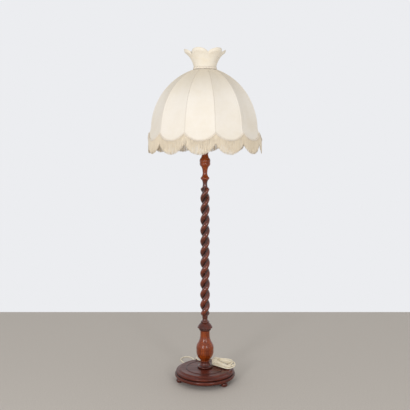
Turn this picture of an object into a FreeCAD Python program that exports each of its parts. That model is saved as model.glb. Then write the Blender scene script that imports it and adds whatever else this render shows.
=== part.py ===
import FreeCAD, Part
import math
import os
import re

import Sketcher
from FreeCAD import Placement, Rotation, Vector

# A turned-wood standard lamp with a barley-twist column and a twelve-panel fringed shade.
# Millimetres, +Z up, -Y to the front, origin on the floor in the middle of the base.

SIZES = {
    # round base on three bun feet
    "foot_height": 23,
    "foot_waist_radius": 12,
    "foot_ring_radius": 134,
    "foot_count": 3,
    "foot_angle": 46,
    "spigot_radius": 6,
    "spigot_length": 12,
    "base_radius": 150,
    "base_lower_bead": 42,
    "base_upper_bead": 56,
    "base_step": 7,
    "base_lip_radius": 129,
    "base_lip_height": 63.5,
    "base_ring_radius": 96,
    "base_ring_width": 6,
    "base_top": 66,
    "recess_radius": 24,
    "recess_depth": 14,
    # hollow rod that clamps the base to the baluster
    "wiring_bore": 5.3,
    "rod_radius": 5,
    "rod_bore": 3.6,
    "rod_top": 150,
    "rod_below_nut": 1,
    "washer_radius": 20,
    "washer_thickness": 2,
    "nut_across_flats": 17,
    "nut_height": 8,
    # bell foot, baluster and collar
    "bell_radius": 38.5,
    "bell_bead_height": 10,
    "bell_shoulder_radius": 32.5,
    "bell_neck_radius": 22.5,
    "bell_top": 98,
    "belly_radius": 44,
    "belly_height": 160,
    "baluster_neck_radius": 24,
    "baluster_neck_height": 236,
    "baluster_top": 262,
    "collar_radius": 38.5,
    "collar_height": 279,
    "collar_bead_radius": 30,
    "collar_top_radius": 20.5,
    "collar_top": 303,
    # twisted column
    "tenon_radius": 11,
    "tenon_length": 30,
    "lower_bead_top": 313,
    "lower_neck_radius": 14.2,
    "lower_neck_height": 330,
    "twist_bottom": 340,
    "lobe_spacing": 54.83,
    "lobe_count": 12,
    "lobe_radius_bottom": 16,
    "lobe_offset_bottom": 9.6,
    "lobe_radius_top": 14.6,
    "lobe_offset_top": 9.2,
    "twist_start_angle": 0,
    "run_out_length": 30,
    "upper_neck_radius": 15.3,
    "column_top": 1036,
    # vase at the top of the column
    "vase_bead_radius": 20.3,
    "vase_bead_top": 1052,
    "vase_neck_radius": 12.6,
    "vase_neck_height": 1078,
    "vase_belly_radius": 25.8,
    "vase_belly_height": 1121,
    "vase_top_radius": 17,
    "vase_top_neck_radius": 15.6,
    "vase_top_neck_height": 1163,
    "vase_top": 1174,
    # brass plate, nipple and lampholder
    "plate_thickness": 2,
    "plate_screw_ring": 11.3,
    "plate_screw_count": 3,
    "screw_radius": 1.5,
    "screw_length": 13,
    "screw_tip_radius": 0.4,
    "screw_point": 4,
    "screw_head_radius": 2.8,
    "screw_head_height": 1.2,
    "nipple_length": 22,
    "nipple_below_plate": 10,
    "nipple_nut_height": 3,
    "nipple_nut_across_flats": 14,
    "cap_neck_radius": 8.5,
    "cap_neck_height": 7,
    "cap_cone_height": 7,
    "cap_radius": 16,
    "cap_height": 27,
    "shell_wall": 1.6,
    "holder_radius": 14.2,
    "holder_height": 36.5,
    "holder_flange_radius": 17,
    "holder_flange_height": 2,
    "holder_tail": 4.5,
    "block_height": 14,
    "plunger_radius": 1.8,
    "plunger_spacing": 10.4,
    "plunger_rise": 7.7,
    "bar_radius": 2.5,
    "bar_length": 47,
    "bar_below_block": 4,
    "bar_travel": 4,
    "shade_ring_radius": 18,
    "shade_ring_height": 5.5,
    "core_radius": 1.3,
    # bayonet bulb
    "bulb_cap_radius": 11,
    "bulb_cap_base": 9,
    "bulb_cap_height": 25,
    "bulb_cap_wall": 0.6,
    "bulb_pin_radius": 1,
    "bulb_pin_span": 26.6,
    "bulb_pin_height": 6.5,
    "bulb_slot_width": 2.6,
    "bulb_turn": 18,
    "bulb_radius": 30,
    "bulb_length": 105,
    "bulb_wall": 0.9,
    "bulb_neck_radius": 10,
    # wire carrier that holds the shade up
    "carrier_height": 241,
    "carrier_wire_radius": 1.25,
    "carrier_ring_wire_radius": 1.5,
    "carrier_ring_radius": 49.6,
    "carrier_foot_radius": 19.6,
    "carrier_plate_thickness": 1.2,
    "carrier_plate_radius": 21,
    "carrier_wire_count": 4,
    "carrier_straight": 12,
    "carrier_splay": 48,
    # shade frame
    "rib_count": 12,
    "rib_angle": 10,
    "wire_radius": 1.6,
    "neck_radius": 52,
    "neck_height": 1576,
    "wall_radius": 264.5,
    "wall_height": 1300,
    "rim_radius": 273,
    "rim_height": 1269,
    "dome_bulge": 0.306,
    "flare_bulge": 0.11,
    "scallop_drop": 34,
    "scallop_flare": 12.5,
    "seat_plate_inner": 46.2,
    "seat_plate_outer": 54,
    "seat_plate_thickness": 1.2,
    "seat_lip_depth": 5,
    "seat_arm_count": 3,
    "crown_petals": 6,
    "crown_curl_radius": 99.8,
    "crown_valley_turn": 41,
    "crown_tip_turn": 57,
    # shade cloth and trimmings
    "cloth_thickness": 1.2,
    "panel_top_radius": 57,
    "neck_gimp_width": 10,
    "neck_gimp_thickness": 2.6,
    "rim_gimp_width": 9,
    "rim_gimp_thickness": 2,
    "fringe_thickness": 4,
    "fringe_length": 65,
    "fringe_header": 5,
    # flex, its hank and its plug
    "flex_radius": 2.8,
    "hank_loops_per_layer": 2,
    "hank_layers": 4,
    "hank_step": 6.7,
    "hank_layer_height": 7,
    "hank_tied_half_width": 11.8,
    "hank_open_half_width": 22,
    "hank_tied_place": -28,
    "hank_open_place": 30,
    "hank_x": 85.4,
    "hank_y": 17.3,
    "hank_angle": -24,
    "plug_place": 5,
    "plug_length": 21,
    "plug_width": 22,
    "plug_height": 13,
    "plug_nose": 5,
    "pin_length": 17,
    "pin_width": 6.3,
    "pin_thickness": 1.6,
    "pin_spacing": 11,
    # clearances
    "glue_gap": 0.1,
    "running_gap": 0.05,
    "rest_gap": 0.3,
    "seam_gap": 0.4,
}

UP = Vector(0, 0, 1)
FULL_TURN = 360
STRAIGHT = 1e-6

document = FreeCAD.newDocument("StandardLamp")
sheet = document.addObject("Spreadsheet::Sheet", "Sizes")
for row, (name, number) in enumerate(SIZES.items(), start=1):
    sheet.set(f"A{row}", name)
    sheet.set(f"B{row}", str(number))
    sheet.setAlias(f"B{row}", name)
document.recompute()

NODES = []


def size(formula):
    """The number that a formula of sheet names stands for."""
    return float(sheet.evalExpression(str(formula)))


def linked(formula):
    """The same formula as another object has to write it."""
    return re.sub(r"[a-z]\w*", lambda word: f"Sizes.{word[0]}" if word[0] in SIZES else word[0], str(formula))


def keep(node, label):
    """Name a finished sub-part and put it on the list of files."""
    node.Label = label
    NODES.append(node)
    return node


# ---------------------------------------------------------------- sketches and bodies


def new_body(label):
    return keep(document.addObject("PartDesign::Body", label), label)


def origin_feature(body, role):
    return next(item for item in body.Origin.OriginFeatures if item.Role == role)


def new_sketch(body, name, plane="XZ_Plane"):
    sketch = body.newObject("Sketcher::SketchObject", name)
    sketch.AttachmentSupport = [(origin_feature(body, plane), "")]
    sketch.MapMode = "FlatFace"
    return sketch


def bowed(start, end, bulge):
    """A line, or an arc that bows to the right of its way by bulge times half its chord."""
    if not bulge:
        return Part.LineSegment(start, end)
    run = end - start
    middle = (start + end) / 2 + Vector(run.y, -run.x, 0) * (bulge / 2)
    return Part.Arc(start, middle, end)


def draw_outline(sketch, corners):
    """Closed outline of corners (across, up, bulge of the run to the next corner), all tied to the sheet."""
    places = [Vector(size(corner[0]), size(corner[1]), 0) for corner in corners]
    count = len(corners)
    starts, finishes, rules, formulas = [], [], [], []
    for index, corner in enumerate(corners):
        following = (index + 1) % count
        bulge = size(corner[2]) if len(corner) > 2 else 0
        edge = sketch.addGeometry(bowed(places[index], places[following], bulge))
        forward = (sketch.getPoint(edge, 1) - places[index]).Length < (sketch.getPoint(edge, 2) - places[index]).Length
        starts.append((edge, 1 if forward else 2))
        finishes.append((edge, 2 if forward else 1))
        if bulge:
            across, up = (f"(({corner[axis]})-({corners[following][axis]}))^2" for axis in (0, 1))
            bend = (1 + bulge * bulge) / (4 * abs(bulge))
            rules.append(Sketcher.Constraint("Radius", edge, (places[following] - places[index]).Length * bend))
            formulas.append(f"sqrt({across}+{up})*{bend}")
    for index, corner in enumerate(corners):
        rules.append(Sketcher.Constraint("Coincident", *finishes[index - 1], *starts[index]))
        formulas.append(None)
        rules.append(Sketcher.Constraint("DistanceX", -1, 1, *starts[index], places[index].x))
        formulas.append(str(corner[0]))
        rules.append(Sketcher.Constraint("DistanceY", -1, 1, *starts[index], places[index].y))
        formulas.append(str(corner[1]))
    numbers = sketch.addConstraint(rules)
    for number, formula in zip(numbers, formulas):
        if formula and re.search("[a-z]", formula):
            sketch.setExpression(f"Constraints[{number}]", linked(formula))


def draw_circle(sketch, across, up, radius):
    """A circle tied to the sheet."""
    centre = Vector(size(across), size(up), 0)
    edge = sketch.addGeometry(Part.Circle(centre, UP, size(radius)))
    rules = [
        Sketcher.Constraint("DistanceX", -1, 1, edge, 3, centre.x),
        Sketcher.Constraint("DistanceY", -1, 1, edge, 3, centre.y),
        Sketcher.Constraint("Radius", edge, size(radius)),
    ]
    for number, formula in zip(sketch.addConstraint(rules), (across, up, radius)):
        if re.search("[a-z]", str(formula)):
            sketch.setExpression(f"Constraints[{number}]", linked(formula))


def draw_hexagon(sketch, across_flats):
    """A hexagon about the origin, for a nut."""
    reach = f"({across_flats})/sqrt(3)"
    draw_outline(sketch, [(f"{reach}*cos({turn} deg)", f"{reach}*sin({turn} deg)") for turn in range(0, FULL_TURN, 60)])


def revolve(body, corners, angle=FULL_TURN):
    """Turn an outline about the upright axis."""
    sketch = new_sketch(body, body.Label + "_outline")
    draw_outline(sketch, corners)
    feature = body.newObject("PartDesign::Revolution", body.Label + "_turning")
    feature.Profile = sketch
    feature.ReferenceAxis = (sketch, ["V_Axis"])
    feature.Angle = size(angle)
    feature.Midplane = size(angle) < FULL_TURN
    if feature.Midplane:
        feature.setExpression("Angle", linked(angle))
    return feature


def extrude(body, sketch, length, kind="Pad", midplane=False, reverse=False):
    """Pad or pocket a sketch by a formula of the sheet."""
    feature = body.newObject("PartDesign::" + kind, sketch.Label + "_" + kind.lower())
    feature.Profile = sketch
    feature.Midplane = midplane
    feature.Reversed = reverse
    feature.setExpression("Length", linked(length))
    return feature


def repeat_round(body, features, count):
    """Repeat features about the upright axis; the pattern becomes the body's tip."""
    document.recompute()
    pattern = body.newObject("PartDesign::PolarPattern", body.Label + "_round")
    pattern.Originals = features
    pattern.Axis = (origin_feature(body, "Z_Axis"), [""])
    pattern.Angle = FULL_TURN
    pattern.setExpression("Occurrences", linked(count))
    body.Tip = pattern
    return pattern


def turned_piece(label, corners):
    """A piece that is one turning."""
    body = new_body(label)
    revolve(body, corners)
    return body


def face_sideways(body, angle):
    """Turn a whole body about the upright axis, from +X to a compass angle counted from the front."""
    body.Placement = Placement(Vector(), Rotation(UP, size(angle) - 90))


# ---------------------------------------------------------------- wires and tubes


def compass(radius, angle, height):
    """The point at an angle from the front, turning towards +X."""
    turn = math.radians(angle)
    return Vector(radius * math.sin(turn), -radius * math.cos(turn), height)


def corner_arc(begin, corner, end):
    """The arc that touches two equal legs of a corner at their far ends, and its radius."""
    into, out = corner - begin, end - corner
    half_turn = into.getAngle(out) / 2
    if half_turn < STRAIGHT:
        return Part.LineSegment(begin, end).toShape(), math.inf
    radius = into.Length / math.tan(half_turn)
    towards_centre = (out.normalize() - into.normalize()).normalize()
    middle = corner + towards_centre * (radius / math.cos(half_turn) - radius)
    return Part.Arc(begin, middle, end).toShape(), radius


def rounded_path(points):
    """Straight runs joined by tangent arcs as large as the runs allow, and the arcs' radii."""
    edges, radii = [], []
    last = points[0]
    for before, corner, after in zip(points, points[1:], points[2:]):
        into, out = corner - before, after - corner
        setback = 0.45 * min(into.Length, out.Length)
        begin, end = corner - into.normalize() * setback, corner + out.normalize() * setback
        edges.append(Part.LineSegment(last, begin).toShape())
        arc, radius = corner_arc(begin, corner, end)
        edges.append(arc)
        radii.append(radius)
        last = end
    edges.append(Part.LineSegment(last, points[-1]).toShape())
    return Part.Wire(edges), radii


def smooth_path(knots):
    """Pairs of arcs through (place, heading) knots, each pair meeting both headings."""
    edges, radii = [], []
    for (start, leaving), (finish, arriving) in zip(knots, knots[1:]):
        span = finish - start
        spread = 2 * (1 - leaving.dot(arriving))
        along = span.dot(leaving + arriving)
        if spread < STRAIGHT:
            leg = span.dot(span) / (2 * along)
        else:
            leg = (math.sqrt(along * along + spread * span.dot(span)) - along) / spread
        first_corner, second_corner = start + leaving * leg, finish - arriving * leg
        meeting = (first_corner + second_corner) / 2
        for begin, corner, end in ((start, first_corner, meeting), (meeting, second_corner, finish)):
            arc, radius = corner_arc(begin, corner, end)
            edges.append(arc)
            radii.append(radius)
    return Part.Wire(edges), radii


def section_across(path, corners):
    """A closed section set square to the start of a path; corners are (sideways, upwards) pairs."""
    first = path.OrderedEdges[0]
    place = first.valueAt(first.FirstParameter)
    ahead = first.tangentAt(first.FirstParameter)
    if (place - path.OrderedVertexes[0].Point).Length > (place - path.OrderedVertexes[-1].Point).Length:
        place, ahead = first.valueAt(first.LastParameter), first.tangentAt(first.LastParameter) * -1
    side = ahead.cross(UP) if abs(ahead.z) < 0.9 else ahead.cross(Vector(0, 1, 0))
    side.normalize()
    over = side.cross(ahead)
    ring = [place + side * across + over * up for across, up in corners]
    return Part.makePolygon(ring + ring[:1])


def faceted(radius, sides):
    """Corners of a many-sided section with the area of a round one."""
    reach = radius * math.sqrt(2 * math.pi / (sides * math.sin(2 * math.pi / sides)))
    return [
        (reach * math.cos(2 * math.pi * (side + 0.5) / sides), reach * math.sin(2 * math.pi * (side + 0.5) / sides))
        for side in range(sides)
    ]


def swept(path, corners):
    """A solid that carries a section along a path."""
    shell = Part.BRepOffsetAPI.MakePipeShell(path)
    shell.add(section_across(path, corners))
    shell.build()
    shell.makeSolid()
    return shell.shape()


def group(label, solids):
    """A sub-part made of one or more solids shaped directly."""
    feature = document.addObject("Part::Feature", label)
    feature.Shape = solids[0] if len(solids) == 1 else Part.makeCompound(solids)
    return keep(feature, label)


def turned_copies(solid, count, first_angle):
    """Copies of a solid that faces +X, set round the upright axis."""
    copies = []
    for index in range(int(count)):
        copy = solid.copy()
        copy.rotate(Vector(), UP, first_angle + FULL_TURN * index / count)
        copies.append(copy)
    return copies


WIRE_SIDES = 6

# ---------------------------------------------------------------- base


def make_base():
    base = new_body("base_plate")
    ring = "base_ring_radius"
    revolve(base, [
        ("recess_radius", "foot_height"),
        ("base_radius-2", "foot_height", 0.6),
        ("base_radius+1", "base_lower_bead"),
        ("base_radius-base_step+3", "base_lower_bead+1", 0.75),
        ("base_radius-base_step", "base_upper_bead", -0.3),
        ("base_lip_radius+1.5", "base_lip_height"),
        ("base_lip_radius-2", "base_lip_height+0.8", -0.03),
        (f"{ring}+base_ring_width/2", "base_lip_height+0.2", 0.7),
        (f"{ring}-base_ring_width/2", "base_lip_height+1"),
        ("bell_radius", "base_top"),
        ("wiring_bore", "base_top"),
        ("wiring_bore", "foot_height+recess_depth"),
        ("recess_radius", "foot_height+recess_depth"),
    ])
    sockets = new_sketch(base, "foot_sockets", "XY_Plane")
    draw_circle(sockets, "foot_ring_radius", 0, "spigot_radius+glue_gap")
    bored = extrude(base, sockets, "foot_height+spigot_length+0.5", "Pocket", reverse=True)
    repeat_round(base, [bored], "foot_count")
    face_sideways(base, "foot_angle")


def make_feet():
    feet = new_body("bun_feet")
    centre = "foot_ring_radius"
    sketch = new_sketch(feet, "foot_outline")
    draw_outline(sketch, [
        (centre, 0),
        (f"{centre}+foot_waist_radius", 0, 0.55),
        (f"{centre}+foot_waist_radius+1", "foot_height-3", -0.3),
        (f"{centre}+foot_waist_radius+2", "foot_height"),
        (f"{centre}+spigot_radius", "foot_height"),
        (f"{centre}+spigot_radius", "foot_height+spigot_length"),
        (centre, "foot_height+spigot_length"),
    ])
    foot = feet.newObject("PartDesign::Revolution", "foot_turning")
    foot.Profile = sketch
    foot.ReferenceAxis = (sketch, ["Edge7"])
    foot.Angle = FULL_TURN
    repeat_round(feet, [foot], "foot_count")
    face_sideways(feet, "foot_angle")


def make_clamp_rod():
    recess_roof = "foot_height+recess_depth"
    nut_foot = f"{recess_roof}-washer_thickness-nut_height"
    turned_piece("clamp_rod", [
        ("rod_bore", f"{nut_foot}-rod_below_nut"),
        ("rod_radius", f"{nut_foot}-rod_below_nut"),
        ("rod_radius", "rod_top"),
        ("rod_bore", "rod_top"),
    ])
    turned_piece("base_washer", [
        ("rod_radius+running_gap*2", f"{recess_roof}-washer_thickness"),
        ("washer_radius", f"{recess_roof}-washer_thickness"),
        ("washer_radius", recess_roof),
        ("rod_radius+running_gap*2", recess_roof),
    ])
    nut = new_body("base_nut")
    flats = new_sketch(nut, "base_nut_flats", "XY_Plane")
    draw_hexagon(flats, "nut_across_flats")
    draw_circle(flats, 0, 0, "rod_radius+running_gap")
    extrude(nut, flats, "nut_height")
    nut.Placement = Placement(Vector(0, 0, size(nut_foot)), Rotation())


# ---------------------------------------------------------------- turned column


def make_bell_foot():
    turned_piece("bell_foot", [
        ("wiring_bore", "base_top"),
        ("bell_radius-3", "base_top", 0.7),
        ("bell_radius-3", "base_top+bell_bead_height"),
        ("bell_shoulder_radius", "base_top+bell_bead_height+0.5", -0.28),
        ("bell_neck_radius", "bell_top"),
        ("wiring_bore", "bell_top"),
    ])


def make_baluster():
    turned_piece("baluster", [
        ("wiring_bore", "bell_top"),
        ("bell_neck_radius", "bell_top", 0.5),
        ("bell_neck_radius", "bell_top+5", -0.12),
        ("(bell_neck_radius+belly_radius)/2", "bell_top+20", 0.2),
        ("belly_radius", "belly_height", 0.2),
        ("(belly_radius+baluster_neck_radius)/2+1", "(belly_height+baluster_neck_height)/2+2", -0.12),
        ("baluster_neck_radius", "baluster_neck_height"),
        ("baluster_neck_radius", "baluster_top"),
        ("tenon_radius+glue_gap", "baluster_top"),
        ("tenon_radius+glue_gap", "baluster_top-tenon_length-1"),
        ("wiring_bore", "baluster_top-tenon_length-1"),
    ])


def make_collar():
    turned_piece("collar", [
        ("tenon_radius+glue_gap", "baluster_top"),
        ("baluster_neck_radius+1.5", "baluster_top", 0.45),
        ("collar_bead_radius", "(baluster_top+collar_height)/2+2"),
        ("collar_bead_radius+1", "(baluster_top+collar_height)/2+3", -0.15),
        ("collar_radius-0.5", "collar_height-2", 0.6),
        ("collar_radius-0.7", "collar_height+1.5", 0.14),
        ("collar_top_radius", "collar_top"),
        ("tenon_radius+glue_gap", "collar_top"),
    ])


def lobe_section(height):
    """The figure-of-eight section of the twist at a height, turned to its place on the spiral."""
    length = size("lobe_spacing*lobe_count")
    share = (height - size("twist_bottom")) / length
    radius = size("lobe_radius_bottom") * (1 - share) + size("lobe_radius_top") * share
    offset = size("lobe_offset_bottom") * (1 - share) + size("lobe_offset_top") * share
    reach = math.pi - math.acos(offset / radius)
    arcs = []
    for facing in (0, math.pi):
        lobe = Part.Circle(Vector(offset, 0, 0), UP, radius)
        arc = Part.ArcOfCircle(lobe, -reach, reach).toShape()
        arc.rotate(Vector(), UP, math.degrees(facing))
        arcs.append(arc)
    section = Part.Wire(arcs)
    turn = size("twist_start_angle") + 180 * (height - size("twist_bottom")) / size("lobe_spacing")
    section.rotate(Vector(), UP, turn)
    section.translate(Vector(0, 0, height))
    return section


def twisted_length():
    """Two strands twined round the axis, swept in half-lobe lengths that taper towards the top."""
    steps = int(size("lobe_count")) * 2
    step = size("lobe_spacing") / 2
    lengths = []
    for index in range(steps):
        low = size("twist_bottom") + step * index
        guide = Part.makeHelix(size("lobe_spacing") * 2, step, size("lobe_radius_bottom"))
        guide.translate(Vector(0, 0, low))
        sweep = Part.BRepOffsetAPI.MakePipeShell(Part.Wire(Part.makeLine(Vector(0, 0, low), Vector(0, 0, low + step))))
        sweep.setAuxiliarySpine(Part.Wire(guide), False, 0)
        sweep.add(lobe_section(low))
        sweep.add(lobe_section(low + step))
        sweep.build()
        sweep.makeSolid()
        lengths.append(sweep.shape())
    return lengths[0].multiFuse(lengths[1:])


def make_column():
    """The column: twist, run-outs and necks in one turning, with a tenon at each end."""
    twist_top = "twist_bottom+lobe_spacing*lobe_count"
    widest = "lobe_radius_bottom+lobe_offset_bottom+1"
    run_out = document.addObject("PartDesign::Body", "run_out")
    revolve(run_out, [
        (0, "twist_bottom-1"),
        ("lower_neck_radius+1", "twist_bottom-1", 0.25),
        (widest, "twist_bottom+run_out_length"),
        (widest, f"{twist_top}-run_out_length", 0.25),
        ("upper_neck_radius", f"{twist_top}+1"),
        (0, f"{twist_top}+1"),
    ])
    ends = document.addObject("PartDesign::Body", "column_ends")
    revolve(ends, [
        (0, "baluster_top-tenon_length"),
        ("tenon_radius", "baluster_top-tenon_length"),
        ("tenon_radius", "collar_top"),
        ("collar_top_radius-2", "collar_top", 0.8),
        ("collar_top_radius-3", "lower_bead_top", -0.3),
        ("lower_neck_radius", "lower_neck_height"),
        ("lower_neck_radius", "twist_bottom+run_out_length/2", 0.3),
        ("lobe_radius_bottom/2", "twist_bottom+run_out_length"),
        ("lobe_radius_top/2", f"{twist_top}-run_out_length", 0.3),
        ("upper_neck_radius-1.5", f"{twist_top}-run_out_length/2"),
        ("upper_neck_radius-1", f"{twist_top}", -0.2),
        ("upper_neck_radius+1", "column_top"),
        ("tenon_radius", "column_top"),
        ("tenon_radius", "column_top+tenon_length"),
        (0, "column_top+tenon_length"),
    ])
    twist = document.addObject("Part::Feature", "twist")
    twist.Shape = twisted_length()
    trimmed = document.addObject("Part::MultiCommon", "trimmed_twist")
    trimmed.Shapes = [twist, run_out]
    solid_column = document.addObject("Part::MultiFuse", "solid_column")
    solid_column.Shapes = [trimmed, ends]
    bore = document.addObject("Part::Cylinder", "column_bore")
    bore.setExpression("Radius", linked("wiring_bore"))
    bore.setExpression("Height", linked("column_top-baluster_top+tenon_length*2+2"))
    bore.setExpression("Placement.Base.z", linked("baluster_top-tenon_length-1"))
    column = document.addObject("Part::Cut", "twist_column")
    column.Base = solid_column
    column.Tool = bore
    keep(column, "twist_column")


def make_top_vase():
    vase = new_body("top_vase")
    revolve(vase, [
        ("tenon_radius+glue_gap", "column_top"),
        ("upper_neck_radius+1", "column_top", 0.7),
        ("vase_bead_radius-3", "vase_bead_top", -0.2),
        ("vase_neck_radius", "vase_neck_height", -0.12),
        ("(vase_neck_radius+vase_belly_radius)/2", "(vase_neck_height+vase_belly_height)/2+3", 0.35),
        ("vase_belly_radius", "vase_belly_height+2", 0.3),
        ("(vase_belly_radius+vase_top_neck_radius)/2", "(vase_belly_height+vase_top_neck_height)/2+4", -0.12),
        ("vase_top_neck_radius", "vase_top_neck_height"),
        ("vase_top_radius", "vase_top-3"),
        ("vase_top_radius", "vase_top"),
        ("wiring_bore", "vase_top"),
        ("wiring_bore", "column_top+tenon_length+1"),
        ("tenon_radius+glue_gap", "column_top+tenon_length+1"),
    ])
    holes = new_sketch(vase, "screw_holes", "XY_Plane")
    draw_circle(holes, "plate_screw_ring", 0, "screw_radius+glue_gap")
    drilled = extrude(vase, holes, "screw_length+1", "Pocket")
    holes.AttachmentOffset = Placement(Vector(0, 0, size("vase_top")), Rotation())
    holes.setExpression("AttachmentOffset.Base.z", linked("vase_top"))
    repeat_round(vase, [drilled], "plate_screw_count")


# ---------------------------------------------------------------- lampholder


PLATE_TOP = "vase_top+plate_thickness"
CAP_FOOT = f"{PLATE_TOP}+nipple_nut_height+glue_gap"
FLANGE_FOOT = f"{CAP_FOOT}+cap_height+glue_gap"
FLANGE_TOP = f"{FLANGE_FOOT}+holder_flange_height"
HOLDER_FOOT = f"{FLANGE_FOOT}-holder_tail"
BLOCK_TOP = f"{HOLDER_FOOT}+block_height+0.4"
BAR_HEIGHT = f"{HOLDER_FOOT}-bar_below_block"
BULB_FOOT = f"{BLOCK_TOP}+plunger_rise+rest_gap"


def make_plate():
    plate = new_body("top_plate")
    revolve(plate, [
        ("rod_radius+running_gap", "vase_top"),
        ("vase_top_radius-0.5", "vase_top"),
        ("vase_top_radius-0.5", "vase_top+plate_thickness-0.8", 0.3),
        ("vase_top_radius-1.3", PLATE_TOP),
        ("rod_radius+running_gap", PLATE_TOP),
    ])
    holes = new_sketch(plate, "plate_holes", "XY_Plane")
    draw_circle(holes, "plate_screw_ring", 0, "screw_radius+glue_gap")
    drilled = extrude(plate, holes, f"{PLATE_TOP}+1", "Pocket", reverse=True)
    repeat_round(plate, [drilled], "plate_screw_count")

    screws = new_body("plate_screws")
    sketch = new_sketch(screws, "screw_outline")
    centre = "plate_screw_ring"
    draw_outline(sketch, [
        (centre, f"{PLATE_TOP}-screw_length"),
        (f"{centre}+screw_tip_radius", f"{PLATE_TOP}-screw_length"),
        (f"{centre}+screw_radius", f"{PLATE_TOP}-screw_length+screw_point"),
        (f"{centre}+screw_radius", PLATE_TOP),
        (f"{centre}+screw_head_radius", PLATE_TOP, 0.3),
        (f"{centre}+screw_head_radius/2", f"{PLATE_TOP}+screw_head_height"),
        (centre, f"{PLATE_TOP}+screw_head_height"),
    ])
    screw = screws.newObject("PartDesign::Revolution", "screw_turning")
    screw.Profile = sketch
    screw.ReferenceAxis = (sketch, ["Edge7"])
    screw.Angle = FULL_TURN
    repeat_round(screws, [screw], "plate_screw_count")


def make_nipple():
    turned_piece("nipple", [
        ("rod_bore", f"{PLATE_TOP}-nipple_below_plate"),
        ("rod_radius", f"{PLATE_TOP}-nipple_below_plate"),
        ("rod_radius", f"{PLATE_TOP}-nipple_below_plate+nipple_length"),
        ("rod_bore", f"{PLATE_TOP}-nipple_below_plate+nipple_length"),
    ])
    nut = new_body("nipple_nut")
    flats = new_sketch(nut, "nipple_nut_flats", "XY_Plane")
    draw_hexagon(flats, "nipple_nut_across_flats")
    draw_circle(flats, 0, 0, "rod_radius+running_gap")
    extrude(nut, flats, "nipple_nut_height")
    nut.Placement = Placement(Vector(0, 0, size(PLATE_TOP)), Rotation())


def make_holder_cap():
    cap = new_body("holder_cap")
    cone_foot = f"{CAP_FOOT}+cap_neck_height"
    revolve(cap, [
        ("rod_radius+running_gap", CAP_FOOT),
        ("cap_neck_radius", CAP_FOOT),
        ("cap_neck_radius", cone_foot, -0.25),
        ("cap_radius-1", f"{cone_foot}+cap_cone_height"),
        ("cap_radius", f"{cone_foot}+cap_cone_height+1"),
        ("cap_radius", f"{CAP_FOOT}+cap_height"),
        ("holder_radius+glue_gap", f"{CAP_FOOT}+cap_height"),
        ("holder_radius+glue_gap", f"{cone_foot}+cap_cone_height+shell_wall"),
        ("cap_neck_radius", f"{cone_foot}+shell_wall*1.2"),
        ("rod_radius+running_gap", f"{cone_foot}+shell_wall*1.2"),
    ])
    sides = new_sketch(cap, "bar_holes", "YZ_Plane")
    draw_circle(sides, 0, BAR_HEIGHT, "bar_radius+running_gap")
    extrude(cap, sides, "cap_radius*2+2", "Pocket", midplane=True)


def make_holder_body():
    holder = new_body("holder_body")
    bore = "holder_radius-shell_wall"
    revolve(holder, [
        (bore, HOLDER_FOOT),
        ("holder_radius", HOLDER_FOOT),
        ("holder_radius", FLANGE_FOOT),
        ("holder_flange_radius", FLANGE_FOOT),
        ("holder_flange_radius", FLANGE_TOP),
        ("holder_radius", FLANGE_TOP),
        ("holder_radius", f"{HOLDER_FOOT}+holder_height"),
        (bore, f"{HOLDER_FOOT}+holder_height"),
    ])
    pin = f"{BULB_FOOT}+bulb_pin_height"
    cut_radius = "holder_radius+1"
    leg = new_sketch(holder, "bayonet_leg")
    draw_outline(leg, [
        (f"{bore}-1", f"{pin}-bulb_slot_width/2"),
        (cut_radius, f"{pin}-bulb_slot_width/2"),
        (cut_radius, f"{pin}+bulb_slot_width/2"),
        (f"{bore}-1", f"{pin}+bulb_slot_width/2"),
    ])
    around = holder.newObject("PartDesign::Groove", "bayonet_turn")
    around.Profile = leg
    around.ReferenceAxis = (leg, ["V_Axis"])
    around.Midplane = True
    around.setExpression("Angle", linked("bulb_turn+11"))
    entry = new_sketch(holder, "bayonet_entry", "XY_Plane")
    offset = "(bulb_pin_span/2*sin(bulb_turn/2*1deg))"
    draw_outline(entry, [
        (f"{bore}-1", f"{offset}-bulb_slot_width/2"),
        (cut_radius, f"{offset}-bulb_slot_width/2"),
        (cut_radius, f"{offset}+bulb_slot_width/2"),
        (f"{bore}-1", f"{offset}+bulb_slot_width/2"),
    ])
    entry.AttachmentOffset = Placement(Vector(0, 0, size(pin)), Rotation())
    entry.setExpression("AttachmentOffset.Base.z", linked(pin))
    straight = extrude(holder, entry, "holder_height", "Pocket", reverse=True)
    repeat_round(holder, [around, straight], 2)
    holder.Placement = Placement(Vector(), Rotation(UP, 90 + size("bulb_turn") / 2))


def make_contacts():
    block = new_body("contact_block")
    revolve(block, [
        (0, f"{HOLDER_FOOT}+0.4"),
        ("holder_radius-shell_wall-glue_gap", f"{HOLDER_FOOT}+0.4"),
        ("holder_radius-shell_wall-glue_gap", BLOCK_TOP),
        (0, BLOCK_TOP),
    ])
    wells = new_sketch(block, "plunger_wells", "XY_Plane")
    draw_circle(wells, "plunger_spacing/2", 0, "plunger_radius+running_gap")
    wells.AttachmentOffset = Placement(Vector(0, 0, size(BLOCK_TOP)), Rotation())
    wells.setExpression("AttachmentOffset.Base.z", linked(BLOCK_TOP))
    bored = extrude(block, wells, "block_height/2", "Pocket")
    repeat_round(block, [bored], 2)

    plungers = new_body("contact_plungers")
    sketch = new_sketch(plungers, "plunger_ends", "XY_Plane")
    draw_circle(sketch, "plunger_spacing/2", 0, "plunger_radius")
    sketch.AttachmentOffset = Placement(Vector(0, 0, size(f"{BLOCK_TOP}-block_height/2")), Rotation())
    sketch.setExpression("AttachmentOffset.Base.z", linked(f"{BLOCK_TOP}-block_height/2"))
    rod = extrude(plungers, sketch, "block_height/2+plunger_rise")
    repeat_round(plungers, [rod], 2)


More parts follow.
